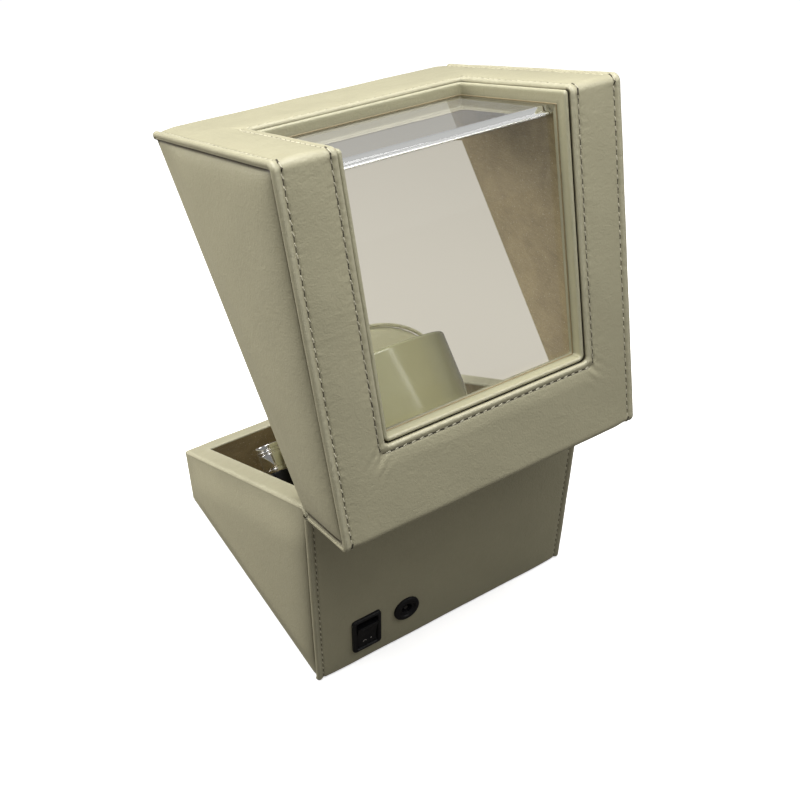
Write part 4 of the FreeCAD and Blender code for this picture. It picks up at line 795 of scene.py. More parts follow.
    def add_lip(self, points, faces, shades, u, v):
        """The sheet's edge turned down into the hole, and only the points that are in use."""
        hole = self.window
        i0, i1 = (int(np.argmin(np.abs(u - x))) for x in (hole.low, hole.high))
        j0, j1 = (int(np.argmin(np.abs(v - x))) for x in (-hole.half, hole.half))
        loop = [(i0, j) for j in range(j0, j1)] + [(i, j1) for i in range(i0, i1)]
        loop += [(i1, j) for j in range(j1, j0, -1)] + [(i, j0) for i in range(i1, i0, -1)]
        upper = [i * len(v) + j for i, j in loop]
        edge, inward = points[upper], self.path.at(u[[i for i, _ in loop]])[1]
        # each row down the lip carries its painted shade
        for depth, dark in hole.LIP:
            level = edge.copy()
            level[:, 1:] -= inward * depth
            lower = list(range(len(points), len(points) + len(loop)))
            for k in range(len(loop)):
                m = (k + 1) % len(loop)
                faces.append((upper[m], upper[k], lower[k], lower[m]))
            points, upper = np.concatenate([points, level]), lower
            shades["crease"] = np.append(shades["crease"], np.full(len(loop), dark))
            shades["worn"] = np.append(shades["worn"], np.zeros(len(loop)))
        keep = sorted({k for face in faces for k in face})
        order = {old: new for new, old in enumerate(keep)}
        faces = [tuple(order[k] for k in face) for face in faces]
        return points[keep], faces, {key: value[keep] for key, value in shades.items()}


def rolled(distance, radius):
    """How far a surface has rolled down at a distance inside its rounded edge."""
    over = np.clip((radius - distance) / radius, 0, 1)
    return radius * (1 - np.sqrt(1 - over**2 * 0.999))


def grid_lines(marks, step):
    """Lines through every mark, no further apart than step."""
    marks = sorted(marks)
    kept = [marks[0]]
    for mark in marks[1:]:
        if mark - kept[-1] > 0.03:
            kept.append(mark)
    lines = []
    for a, b in zip(kept, kept[1:]):
        count = max(1, math.ceil((b - a) / step - 0.05))
        lines += [a + (b - a) * k / count for k in range(count)]
    return np.array([*lines, kept[-1]])


# ---------------------------------------------------------------- stitches


def capsule(length, radius, flat=1.0, around=8):
    """A round-ended rod along X, flattened along Z, as points and faces."""
    turn = 2 * math.pi * np.arange(around) / around
    quarters = (0.08, 0.4, 0.72, 1.0)
    rings = []
    for side, t in [(-1, t) for t in quarters] + [(1, t) for t in quarters[::-1]]:
        x = side * (length / 2 - radius + radius * math.cos(t * math.pi / 2))
        r = radius * math.sin(t * math.pi / 2)
        ring = [np.full(around, x), r * np.cos(turn), flat * r * np.sin(turn)]
        rings.append(np.column_stack(ring))
    return loft(rings, True, True)


def scattered(shape, places):
    """Copies of a small shape. Each place is (point, along, out, slant in degrees, size)."""
    points, faces = shape
    parts = []
    for here, along, out, slant, size in places:
        side = np.cross(out, along)
        c, s = math.cos(math.radians(slant)), math.sin(math.radians(slant))
        a, b = along * c + side * s, side * c - along * s
        parts.append((here + size * (points @ np.stack([a, b, out])), faces))
    return joined(parts)


def stitch(name, sheet, body, rows):
    """Thread bits along rows of (u, v, du, dv) on a sheet, and dark flat marks between them,
    painted shadow of the stitch holes.
    """
    threads, shadow_marks = [], []
    for places in rows:
        random = np.random.default_rng(len(places))
        for u, v, du, dv in places:
            jitter = random.normal(0, 1, 4)
            here, along, out = sheet.frame_at(u, v, du, dv)
            slant, size = 14 + 4 * jitter[0], 1 + 0.06 * jitter[1]
            threads.append((here + out * 0.1, along, out, slant, size))
            # painted shadow: a dark flattened mark half a pitch on, sunk a little, stands for the
            # shadow in the stitch hole
            here, along, out = sheet.frame_at(u + du * PITCH / 2, v + dv * PITCH / 2, du, dv)
            slant, size = -9 + 4 * jitter[2], 1 + 0.07 * jitter[3]
            shadow_marks.append((here - out * 0.05, along, out, slant, size))
    for label, shape, places, material in (
        ("threads", capsule(1.9, 0.24), threads, THREAD),
        ("stitch_shadow_marks", capsule(2.35, 0.33, 0.45), shadow_marks, STITCH_SHADOW_MARK),
    ):
        piece(f"{name}_{label}", *scattered(shape, places), "leather", body, material=material)


def edge_rows(sheet, inset):
    """The two seams along a sheet's side edges."""
    count = int((sheet.path.length - 2 * inset) / PITCH)
    along = [inset + PITCH * (k + 0.5) for k in range(count)]
    return [[(u, side * STITCH_LINE, 1.0, 0.0) for u in along] for side in (-1, 1)]


# ---------------------------------------------------------------- the lid's wrap, window and sides

FOLD = 3.0
TUCK = 0.2
lid_path = Path(
    [(FRONT, lid_rim(FRONT) + TUCK), (FRONT, TOP), (REAR, TOP), (REAR, lid_rim(REAR) + TUCK)],
    [FOLD, FOLD],
)
window = Window(lid_path.find(z=WINDOW_LOW), lid_path.find(y=WINDOW_REAR), WINDOW_HALF)
lid_wrap = Sheet(lid_path, window, pad=0.35, roll=1.2, seed=0.3, end_slope=math.tan(RIM_SLOPE))
lid_wrap.build("lid_wrap_skin", "lid", ["lid_wrap_leather"])

line = window.half + window.STITCH
along = np.arange(window.low - 1.0, window.high + 1.0, PITCH)
across = np.arange(-window.half + 0.6, window.half - 0.5, PITCH)
window_row = [(u, side * line, 1.0, 0.0) for side in (-1, 1) for u in along]
for u in (window.low - window.STITCH, window.high + window.STITCH):
    window_row += [(u, v, 0.0, 1.0) for v in across]
stitch("lid", lid_wrap, "lid", [*edge_rows(lid_wrap, 2.0), window_row])


def edge_distances(y, z, corners):
    """The distance of points inside a convex outline from each of its edges."""
    out = []
    for k, a in enumerate(corners):
        b = corners[(k + 1) % len(corners)]
        along = np.array(b, float) - np.array(a, float)
        along /= np.linalg.norm(along)
        out.append(np.abs((z - a[1]) * along[0] - (y - a[0]) * along[1]))
    return out


def outline_points(corners):
    """Points about evenly spaced round a closed outline."""
    loop = []
    for k, a in enumerate(corners):
        a, b = np.array(a, float), np.array(corners[(k + 1) % len(corners)], float)
        count = max(2, round(math.dist(a, b) / 1.8))
        loop += [a + (b - a) * i / count for i in range(count)]
    return np.array(loop)


INSETS = (0.0, 0.25, 0.55, 0.95, 1.5, 2.2, 3.1, 4.3, 6.0)
SHRINKING = (0.94, 0.87, 0.79, 0.7, 0.6, 0.5, 0.4, 0.3, 0.2, 0.11, 0.04)
SWELL = 2.1


def side_panel(name, x, corners, kinds, body, replaced):
    """A padded leather side. kinds says how each edge of the anticlockwise outline ends:

    pulled down into a creased edge, rolled under the floor, or flush with the rim; painted shade
    darkens the first two.
    """
    outline = outline_points(corners)
    centre = outline.mean(0)
    reach = np.linalg.norm(outline - centre, axis=1, keepdims=True)
    loops = [centre + (outline - centre) * (1 - inset * 1.15 / reach) for inset in INSETS]
    loops += [centre + (loops[-1] - centre) * t for t in SHRINKING]
    skins, crease = [], []
    side = math.copysign(1, x)
    for loop in loops:
        y, z = loop.T
        drop, dark, swell = np.zeros(len(loop)), np.zeros(len(loop)), np.full(len(loop), SWELL)
        for distance, kind in zip(edge_distances(y, z, corners), kinds):
            if kind == "crease":
                drop = np.maximum(drop, 0.75 * np.exp(-distance / 1.1))
                # painted shade: near-black right at the creased edge, fading across the padding
                # over several millimetres
                shade = 0.95 * smoothstep(0.95, 0.2, distance) + 0.26 * np.exp(-distance / 7)
                dark = np.maximum(dark, shade)
                swell = swell * (1 - np.exp(-distance / 4.5))
            elif kind == "under":
                over = np.clip(1 - distance / 0.95, 0, 1)
                drop = np.maximum(drop, 0.8 * (1 - np.sqrt(1 - over**2)))
                # painted shade where the panel rolls under towards the floor
                dark = np.maximum(dark, 0.6 * smoothstep(0.6, 0.0, distance))
                swell = swell * smoothstep(0, 14, distance)
            else:
                swell = swell * smoothstep(-1, 20, distance)
        bulge = swell + 0.12 * sway(y, z, x) * smoothstep(0, 0.5, swell)
        skins.append(np.stack([side * (abs(x) - drop + bulge), y, z], -1))
        crease.append(dark)
    points, faces = loft(skins, False, True, flip=side < 0)
    piece(name, points, faces, "leather", body, {"crease": np.concatenate(crease)}, replaced)


CREASE_IN = 2.85
SHOULDER = 1.6
FLOOR_ROLL = 1.0
rear_in, front_in = REAR - CREASE_IN, FRONT + CREASE_IN
corner_in = FRONT + CORNER + 0.2
lid_outline = [(y, lid_rim(y) + SHOULDER) for y in (front_in, HINGE_Y, rear_in)]
lid_outline += [(rear_in, TOP - CREASE_IN), (front_in, TOP - CREASE_IN)]
base_outline = [(corner_in, FLOOR_ROLL), (rear_in, FLOOR_ROLL)]
base_outline += [(y, base_rim(y) - SHOULDER) for y in (rear_in, HINGE_Y, corner_in)]
for x, label in ((HALF, "plus_x"), (-HALF, "minus_x")):
    for body, outline, kinds in (
        ("lid", lid_outline, ["flush", "flush", "crease", "crease", "crease"]),
        ("base", base_outline, ["under", "crease", "flush", "flush", "flush"]),
    ):
        replaced = [f"{body}_side_leathers"] if x > 0 else []
        side_panel(f"{body}_side_skin_{label}", x, outline, kinds, body, replaced)

# ---------------------------------------------------------------- the rims


RIM_SIDE, RIM_ARC = 56, 6


def rectangle_loop(half, front, rear, radius):
    """A rounded rectangle seen from above, anticlockwise, with the way out at each point."""
    x = half - radius
    centres = [(x, front + radius), (x, rear - radius), (-x, rear - radius), (-x, front + radius)]
    places, outs = [], []
    for k, centre in enumerate(centres):
        turn = math.pi / 2 * (k - 1 + np.arange(RIM_ARC + 1) / RIM_ARC)
        arc = np.column_stack([np.cos(turn), np.sin(turn)])
        corner = centre + radius * arc
        after = centres[(k + 1) % 4] + radius * arc[-1]
        t = np.arange(1, RIM_SIDE)[:, None] / RIM_SIDE
        places += [corner, corner[-1] + (after - corner[-1]) * t]
        outs += [arc, np.repeat(arc[-1:], RIM_SIDE - 1, 0)]
    return np.concatenate(places), np.concatenate(outs)


RIM_INSET, RIM_ROLL = 0.45, 1.1
LEAF_X, LEAF_HALF, LEAF_REACH, LEAF_SINK = 35, 13.2, 11.4, 0.22


def rim_ring(name, rim, up, opening, replaced, body):
    """The leather turned over a rim: from the outside, over the top, and down inside."""
    outer, out_way = rectangle_loop(HALF, FRONT + RIM_INSET, REAR - RIM_INSET, 1.6)
    inner, in_way = rectangle_loop(INNER, *opening, 0.7)
    loops, crease, worn = [], [], []

    # dark is painted shade, light is pale wear
    def add(xy, dz, dark=0.0, light=0.0):
        x, y = xy.T
        under_leaf = (np.abs(np.abs(x) - LEAF_X) < LEAF_HALF) & (y > HINGE_Y - LEAF_REACH)
        sink = LEAF_SINK * (under_leaf & (dz > -0.5))
        loops.append(np.column_stack([x, y, rim(np.clip(y, FRONT, REAR)) + up * dz - up * sink]))
        crease.append(dark)
        worn.append(light)

    # painted shade at the outer foot
    add(outer - out_way * 0.95, -SHOULDER - 0.25, 0.3)
    add(outer - out_way * 0.02, -SHOULDER - 0.02)
    for angle in np.arange(7) * math.pi / 12:
        c, s = 1 - math.cos(angle), math.sin(angle)
        add(outer - out_way * SHOULDER * c, -SHOULDER * (1 - s), 0.0, 0.35 * s)
    for a in (2.4, 3.4, 4.5, 5.8):
        within, _ = rectangle_loop(HALF - a, FRONT + RIM_INSET + a, REAR - RIM_INSET - a, 0.1)
        add(within, 0.06 * math.sin(a), 0.0, 0.12)
    for b in (2.4, 1.7):
        add(inner + in_way * b, 0.1, 0.0, 0.25)
    for angle in np.arange(6, -1, -1) * math.pi / 12:
        c, s = 1 - math.cos(angle), math.sin(angle)
        add(inner + in_way * RIM_ROLL * c, -RIM_ROLL * (1 - s) + 0.1, 0.0, 0.55)
    # painted shade going down inside the opening
    add(inner + in_way * 0.02, -2.0, 0.15)
    add(inner + in_way * 0.02, -3.4, 0.9)
    points, faces = loft(loops, flip=up < 0)
    shades = {"crease": np.repeat(crease, len(outer)), "worn": np.repeat(worn, len(outer))}
    piece(name, points, faces, "leather", body, shades, replaced)


rim_ring("base_rim_skin", base_rim, 1, (BASE_FRONT, BASE_REAR), ["base_rim_leather"], "base")
rim_ring("lid_rim_skin", lid_rim, -1, (LID_FRONT, LID_REAR), ["lid_rim_leather"], "lid")

# ---------------------------------------------------------------- base front and rear

switch_low, switch_high = box_of("switch_housing")
jack_low, jack_high = box_of("power_inlet")
switch_x, _, switch_z = (switch_low + switch_high) / 2
jack_x, _, jack_z = (jack_low + jack_high) / 2
CUT_HALF, CUT_TALL, JACK_CUT = 6.6, 9.6, 3.8
FOOT_GAP, RIM_TUCK = 0.9, 0.25

front_path = Path([(FRONT, FOOT_GAP), (FRONT, base_rim(FRONT) - RIM_TUCK)], [])
front_sheet = Sheet(front_path, pad=0.35, seed=1.7, stitched=False)
front_sheet.build("base_front_skin", "base", ["base_front_leather"])
rear_path = Path([(REAR, base_rim(REAR) - RIM_TUCK), (REAR, FOOT_GAP)], [])
rear_sheet = Sheet(rear_path, pad=0.3, seed=2.9)
cuts = []
for x, z, wide, tall in (
    (switch_x, switch_z, CUT_HALF, CUT_TALL),
    (jack_x, jack_z, JACK_CUT, JACK_CUT),
):
    u = rear_path.find(z=z)
    cuts.append((u - tall, u + tall, x - wide, x + wide))
rear_sheet.build("base_rear_skin", "base", ["base_rear_leather"], cuts)
stitch("base_rear", rear_sheet, "base", edge_rows(rear_sheet, 0.5))

# ---------------------------------------------------------------- window frame and pane


PER_LEG, BEND, ARC, BAR = 44, 7, 5, 40


def bent_loop(depth, grow, corner=0.9, fold=None):
    """A closed line round the window: its depth under the leather, and how far it is grown past
    the pane's edge."""
    half, low, rear = PANE_HALF + grow, PANE_LOW - grow, PANE_REAR + grow
    fold = max(0.5, FOLD - depth) if fold is None else fold
    corner = max(0.15, corner + grow)
    path = Path([(FRONT + depth, low), (FRONT + depth, TOP - depth), (rear, TOP - depth)], [fold])
    start, run = path.parts[1][:2]
    first = np.linspace(corner, start, PER_LEG)
    bend = np.linspace(start, start + run, BEND + 2)[1:-1]
    last = np.linspace(start + run, path.length - corner, PER_LEG)
    leg = np.concatenate([first, bend, last])
    bar = np.linspace(half - corner, corner - half, BAR)
    arc = np.linspace(0, math.pi / 2, ARC + 2)[1:-1]
    near, far = corner * (1 - np.sin(arc)), corner * (1 - np.cos(arc))
    runs = (
        (leg, half),
        (path.length - near, half - far),
        (path.length, bar),
        (path.length - far, near - half),
        (leg[::-1], -half),
        (near, far - half),
        (0.0, bar[::-1]),
        (far, half - near),
    )
    u, v = np.concatenate([np.stack(np.broadcast_arrays(*run)) for run in runs], 1)
    return np.column_stack([v, path.at(u)[0]])


FRAME_WALL = frame_high[0] - PANE_HALF
FRAME_TOP, FRAME_DEEP = 1.5, 9.8
BEAD = FRAME_WALL / 2 - 0.08
sections = [(FRAME_DEEP, FRAME_WALL - 0.05), (3.6, FRAME_WALL - 0.05), (2.8, FRAME_WALL - 0.1)]
for angle in np.arange(7) * math.pi / 6:
    depth = FRAME_TOP + BEAD * (1 - math.sin(angle))
    sections.append((depth, FRAME_WALL / 2 + BEAD * math.cos(angle)))
sections += [(d, 0.1 - 0.06 * math.sin(d)) for d in (3.2, 4.2, 5.0, 5.8, 6.3)]
sections.append((FRAME_DEEP, 0.05))
# painted shade: the frame's outer wall down in the gap is near-black, and the inside darkens deeper
# towards the pane; pale wear on the frame's top
crease, worn = [], []
for depth, grow in sections + sections[:1]:
    outer_wall = grow > FRAME_WALL * 0.75
    crease.append(0.95 if outer_wall and depth > 2.0 else 0.3 * smoothstep(4.0, 6.4, depth))
    worn.append(0.3 if depth < 2.4 and not outer_wall else 0.0)
loops = [bent_loop(depth, grow) for depth, grow in sections]
count = len(loops[0])
marks = {"crease": np.repeat(crease, count), "worn": np.repeat(worn, count)}
piece("window_frame_skin", *tube(loops), "frame_leather", "lid", marks, ["window_frame"])

# a thin line of glue where the pane meets the frame
glue = ((-0.35, 0.1), (-0.3, -0.22), (0.02, -0.3), (0.02, 0.1))
loops = [bent_loop(PANE_DROP + depth, grow) for depth, grow in glue]
piece("pane_glue_line", *tube(loops), "clear_acrylic", "lid", material=GLUE_LINE)

PANE_EASE, PANE_GRIP, PANE_CORNER = 0.35, 0.4, 0.8
OUTER_FOLD, INNER_FOLD = 3.4, 1.0
loops = [
    bent_loop(PANE_DROP + depth, PANE_GRIP - less, PANE_CORNER, fold)
    for depth, less, fold in (
        (0, PANE_EASE, OUTER_FOLD),
        (PANE_EASE * 0.35, 0.08, OUTER_FOLD),
        (PANE_EASE, 0, OUTER_FOLD),
        (PANE_THICK - PANE_EASE, 0, INNER_FOLD + 0.2),
        (PANE_THICK - PANE_EASE * 0.35, 0.08, INNER_FOLD),
        (PANE_THICK, PANE_EASE, INNER_FOLD),
    )
]
LEG = 2 * PER_LEG + BEND


def ladder(start):
    """Faces over one side of the pane, between the loop's two long legs and at its two bars."""
    turn = start + LEG + 2 * ARC + BAR
    right = range(start, start + LEG)
    left = range(turn + LEG - 1, turn - 1, -1)
    faces = [(right[k], right[k + 1], left[k + 1], left[k]) for k in range(LEG - 1)]
    faces.append(tuple(range(start + LEG - 1, turn + 1)))
    faces.append((*range(turn + LEG - 1, turn + LEG + 2 * ARC + BAR), start))
    return faces


points, faces = loft(loops)
faces += [face[::-1] for face in ladder(0)] + ladder(count * (len(loops) - 1))
piece("window_pane_sheet", points, faces, "clear_acrylic", "lid", None, ["window_pane"], crisp=15)

# ---------------------------------------------------------------- turned pieces


def turned_shape(profile, origin, axis, steps):
    """Loops of a profile of (radius, height) turned about an axis."""
    angles = np.arange(steps)[:, None] * 2 * math.pi / steps
    ring = np.cos(angles) * ACROSS + np.sin(angles) * np.cross(axis, ACROSS)
    middle, axis = np.array(origin), np.array(axis, float)
    return [middle + height * axis + max(radius, 0.001) * ring for radius, height in profile]


def rounded_profile(points, radii, steps=5):
    """A profile with its corners rounded."""
    out = []
    for k, point in enumerate(points):
        radius = radii[k]
        p = np.array(point, float)
        if radius == 0:
            out.append(p)
            continue
        a, b = np.array(points[k - 1], float), np.array(points[(k + 1) % len(points)], float)
        to_a, to_b = (a - p) / np.linalg.norm(a - p), (b - p) / np.linalg.norm(b - p)
        angle = math.acos(np.clip(to_a @ to_b, -1, 1))
        cut = radius / math.tan(angle / 2)
        middle = to_a + to_b
        centre = p + middle / np.linalg.norm(middle) * radius / math.sin(angle / 2)
        start, end = p + to_a * cut - centre, p + to_b * cut - centre
        spread = math.acos(np.clip(start @ end / radius**2, -1, 1))
        for i in range(steps + 1):
            t = i / steps
            arc = start * math.sin(spread * (1 - t)) + end * math.sin(spread * t)
            out.append(centre + arc / math.sin(spread))
    return out


def lathe(name, profile, radii, place, slot, body, replaced, rounding=5, steps=128, hollow=False):
    """A turned piece. A hollow one's profile meets itself, others start and end at the axis."""
    loops = turned_shape(rounded_profile(profile, radii, rounding), *place, steps)
    shape = tube(loops) if hollow else loft(loops, True, True)
    piece(name, *shape, slot, body, None, replaced, crisp=None if hollow else 50)


def hub_extent(node, origin):
    """Lowest and highest height along the drum's axis, and the largest radius, of a CAD node."""
    points = cad_points(node) - origin
    heights = points @ AXIS
    radii = np.linalg.norm(points - heights[:, None] * AXIS, axis=1)
    return heights.min(), heights.max(), radii.max()


SHAFT = 3.0
CUP_WALL, CUP_FLOOR, CUP_ROUND = 3.5, 3.0, 10.0
low, high, r = hub_extent("drum_cup", FOOT)
cup = [(SHAFT, low), (r, low), (r, high), (r - CUP_WALL, high)]
cup += [(r - CUP_WALL, low + CUP_FLOOR), (SHAFT, low + CUP_FLOOR)]
radii = [0, CUP_ROUND, 1.7, 1.7, 6.0, 0]
place = (FOOT, AXIS)
lathe("drum_cup_shell", cup, radii, place, "cream_gloss", "drum", ["drum_cup"], 12, 192, True)

GROOVE, LINE = 0.5, 0.45
low, high, r = hub_extent("selector_knob", KNOB_FOOT)
cut_bands = [(low + 1.6, low + 2.4, LINE)]
cut_bands += [(high - 4.6, high - 3.9, GROOVE), (high - 2.9, high - 2.2, GROOVE)]
profile = [(SHAFT, low), (r, low)]
for start, stop, deep in cut_bands:
    profile += [(r, start), (r - deep, start), (r - deep, stop), (r, stop)]
profile += [(r, high), (r - 1.3, high), (r - 1.6, high - 0.35), (0, high - 0.35)]
radii = [0, 0.25, 0.12, 0.1, 0.1, 0.12, 0.2, 0.15, 0.15, 0.2]
radii += [0.2, 0.15, 0.15, 0.2, 0.55, 0.15, 0.1, 0]
place = (KNOB_FOOT, AXIS)
lathe("selector_knob_turned", profile, radii, place, "chrome", "knob", ["selector_knob"], 3)

low, high, r = hub_extent("selector_washer", KNOB_FOOT)
washer = [(SHAFT + 0.3, low), (r, low), (r, high), (SHAFT + 0.3, high)]
radii, replaced = [0, 0.3, 0.6, 0], ["selector_washer"]
lathe("selector_washer_ring", washer, radii, place, "black_plastic", "base", replaced, hollow=True)

proud, flange = jack_high[1] - REAR, (jack_high[0] - jack_low[0]) / 2
BARREL, BORE, JACK_DEEP, JACK_BOTTOM = 4.0, 2.75, 13.0, 2
jack = [(0, -JACK_DEEP), (BARREL, -JACK_DEEP), (BARREL, -0.2), (flange, -0.2), (flange, proud)]
jack += [(BORE + 1.7, proud), (BORE + 1.3, proud - 0.7), (BORE, proud - 0.7)]
jack += [(BORE, JACK_BOTTOM - JACK_DEEP), (0, JACK_BOTTOM - JACK_DEEP)]
radii = [0, 0.2, 0, 0.2, 0.9, 0.2, 0.2, 0.2, 0.2, 0]
place = ((jack_x, REAR, jack_z), (0, 1, 0))
lathe("power_inlet_turned", jack, radii, place, "black_plastic", "base", ["power_inlet"])

# ---------------------------------------------------------------- rocker switch


def bezel_loop(y, wide, tall, radius):
    """A rounded rectangle round the switch's middle, at a place along Y."""
    loop = []
    for k, (sx, sz) in enumerate(((1, -1), (1, 1), (-1, 1), (-1, -1))):
        for i in range(7):
            angle = math.pi / 2 * (k - 1 + i / 6)
            across = sx * (wide / 2 - radius) + radius * math.cos(angle)
            up = sz * (tall / 2 - radius) + radius * math.sin(angle)
            loop.append((switch_x + across, y, switch_z + up))
    return loop


wide, _, tall = switch_high - switch_low
face = switch_high[1]
WELL_WIDE, WELL_TALL, WELL_DEEP, SHELL_WIDE, SHELL_TALL = 10.6, 17.2, 9.0, 13.0, 19.0
BEZEL_EASE, BEZEL_CORNER = 0.9, 1.7
loops = [
    bezel_loop(switch_low[1], SHELL_WIDE, SHELL_TALL, 0.6),
    bezel_loop(REAR - 0.2, SHELL_WIDE, SHELL_TALL, 0.6),
    bezel_loop(REAR - 0.1, wide - 0.2, tall - 0.2, BEZEL_CORNER - 0.1),
    bezel_loop(REAR + 0.15, wide, tall, BEZEL_CORNER),
]
for angle in np.arange(1, 6) * math.pi / 10:
    less = BEZEL_EASE * (1 - math.cos(angle))
    y = face - BEZEL_EASE * (1 - math.sin(angle))
    loops.append(bezel_loop(y, wide - 2 * less, tall - 2 * less, BEZEL_CORNER - less * 0.6))
bottom = face - REAR + WELL_DEEP
for drop, grow, corner in ((0, 0.9, 1.0), (0.35, 0.2, 0.7), (0.8, 0, 0.6), (bottom, 0, 0.6)):
    loops.append(bezel_loop(face - drop, WELL_WIDE + grow, WELL_TALL + grow, corner))
shape = loft(loops, True, True, flip=True)
piece("switch_bezel", *shape, "black_plastic", "base", None, ["switch_housing"], crisp=40)

ROCKER_TILT = math.radians(-8)
ROCKER_WIDE, ROCKER_TALL, ROCKER_PROUD, ROCKER_DISH = 10.4, 15.0, 5.6, 1.0
KEY_ROUND, KEY_BACK, KEY_TAPER = 0.75, -1.5, 0.62


def rocker_point(across, out, up):
    """A point on the rocker, tilted about its axis."""
    y = out * math.cos(ROCKER_TILT) - up * math.sin(ROCKER_TILT)
    z = out * math.sin(ROCKER_TILT) + up * math.cos(ROCKER_TILT)
    return ROCKER_AT + np.array([across, y, z])


def rocker_face(up, edge=0.0):
    """How far the rocker's dished face stands out, lower at its rounded edges."""
    t = abs(up) / (ROCKER_TALL / 2)
    return ROCKER_PROUD - ROCKER_DISH * (1 - t * t) - edge


columns, ups = np.linspace(-1, 1, 15) * ROCKER_WIDE / 2, np.linspace(-1, 1, 29) * ROCKER_TALL / 2
count, last = len(columns), len(ups) - 1
points = []
for up in ups:
    for x in columns:
        near = min(ROCKER_WIDE / 2 - abs(x), ROCKER_TALL / 2 - abs(up))
        edge = 0.55 * (1 - math.sqrt(max(0.0, 1 - max(0.0, 1 - near / KEY_ROUND) ** 2)))
        points.append(rocker_point(x, rocker_face(up, edge), up))
rows = range(0, last * count, count)
faces = [(k, k + count, k + count + 1, k + 1) for row in rows for k in range(row, row + count - 1)]
rim = [*range(count), *(i * count + count - 1 for i in range(1, last + 1))]
rim += [*range(last * count + count - 2, last * count - 1, -1)]
rim += [i * count for i in range(last - 1, 0, -1)]
start = len(points)
for k in rim:
    points.append(rocker_point(columns[k % count], KEY_BACK, ups[k // count] * KEY_TAPER))
for k in range(len(rim)):
    m = (k + 1) % len(rim)
    faces.append((rim[k], rim[m], start + m, start + k))
faces.append(tuple(start + k for k in range(len(rim)))[::-1])
replaced = ["switch_rocker"]
piece("switch_rocker_key", points, faces, "black_plastic", "rocker", None, replaced, crisp=40)

MARK_UP, MARK_TALL, MARK_PROUD = -ROCKER_TALL / 4 - 0.6, 0.95, 0.02


def mark_loop(across, wide, tall, count):
    """A flat oval on the rocker's lower half."""
    out = rocker_face(MARK_UP) + MARK_PROUD
    turns = np.arange(count) * 2 * math.pi / count
    return [
        rocker_point(across + wide * math.cos(t), out, MARK_UP + tall * math.sin(t)) for t in turns
    ]


bar = (mark_loop(-1.9, 0.28, MARK_TALL, 12), [tuple(range(12))])
ring = loft([mark_loop(1.5, 0.6, 0.6, 24), mark_loop(1.5, MARK_TALL, MARK_TALL, 24)])
shape = joined([bar, ring])
piece("switch_rocker_marks", *shape, "black_plastic", "rocker", material=PALE_MARK)

# ---------------------------------------------------------------- watch pillow

pillow_low, pillow_high, _ = hub_extent("watch_pillow", FOOT)
PILLOW_HALF = box_of("watch_pillow")[1][0]
PILLOW_RISE = (pillow_high - pillow_low) / 2
PILLOW_MID = (pillow_high + pillow_low) / 2
PILLOW_END = ((cad_points("pillow_caps") - FOOT) @ UPHILL).max()
PILLOW_SPAN = ((cad_points("watch_pillow") - FOOT) @ UPHILL).max()
PILLOW_AROUND = 72
# cloth settings suit a larger piece, so the cover is worked out ten times as large
SIM = 10.0
SIM_FRAMES = 20
MOST_SWELL = 1.6


def pillow_point(turn, s, grow):
    """A point of the pillow from a turn round it, a place along it and a share of its section."""
    return (
        FOOT
        + ACROSS * PILLOW_HALF * grow * math.cos(turn)
        + AXIS * (PILLOW_MID + PILLOW_RISE * grow * math.sin(turn))
        + UPHILL * s
    )


def sim_points(obj):
    """An object's points in millimetres, brought back from the cloth's size."""
    return np.array([v.co for v in obj.data.vertices]) / MM / SIM


def pillow_cover():
    """The pillow's even mesh at the cloth's size: its two ends and the swelling middle."""
    first = [(-PILLOW_END, 0.05), (-PILLOW_END, 0.45), (-PILLOW_END + 0.3, 0.75)]
    first += [(-PILLOW_SPAN - 0.6, 0.91), (-PILLOW_SPAN, 0.93)]
    middle = np.linspace(-PILLOW_SPAN, PILLOW_SPAN, 17)[1:-1]
    stations = [*first, *((s, 0.93 + 0.035 * (1 - (s / PILLOW_SPAN) ** 2)) for s in middle)]
    stations += [(-s, grow) for s, grow in first[::-1]]
    turns = [2 * math.pi * k / PILLOW_AROUND for k in range(PILLOW_AROUND)]
    loops = [[pillow_point(turn, s, grow) for turn in turns] for s, grow in stations]
    points, faces = loft(loops, True, True)
    obj = new_object("pillow_cover", new_mesh("pillow_cover_start", points * SIM, faces))
    bpy.context.view_layer.objects.active = obj
    obj.select_set(True)
    remesh = obj.modifiers.new("even", "REMESH")
    remesh.mode = "VOXEL"
    remesh.voxel_size = 2.2 * MM * SIM
    bpy.ops.object.modifier_apply(modifier=remesh.name)
    inflate(obj)
    smooth = obj.modifiers.new("smooth", "SUBSURF")
    smooth.levels = smooth.render_levels = 1
    bpy.ops.object.modifier_apply(modifier=smooth.name)
    obj.select_set(False)
    return obj


def inflate(obj):
    """Blows the cover up a little against its two end seams, then fixes the result."""
    rest = sim_points(obj)
    s = (rest - FOOT) @ UPHILL
    seam = obj.vertex_groups.new(name="seam")
    seam.add([int(k) for k in np.nonzero(np.abs(s) > PILLOW_SPAN - 1.2)[0]], 1.0, "REPLACE")
    cloth = obj.modifiers.new("cloth", "CLOTH")
    cloth.settings.vertex_group_mass = "seam"
    cloth.settings.use_pressure = True
    cloth.settings.uniform_pressure_force = 4.0
    cloth.settings.effector_weights.gravity = 0.0
    cloth.settings.tension_stiffness = 8
    cloth.settings.compression_stiffness = 4
    cloth.settings.bending_stiffness = 0.3
    cloth.point_cache.frame_start, cloth.point_cache.frame_end = 1, SIM_FRAMES
    scene = bpy.context.scene
    for number in range(1, SIM_FRAMES + 1):
        scene.frame_set(number)
    bpy.ops.object.modifier_apply(modifier=cloth.name)
    scene.frame_set(1)
    move = sim_points(obj) - rest
    size = np.linalg.norm(move, axis=1, keepdims=True)
    move *= np.minimum(1, MOST_SWELL / np.maximum(size, 1e-6))
    obj.data.vertices.foreach_set("co", ((rest + move) * MM * SIM).reshape(-1))


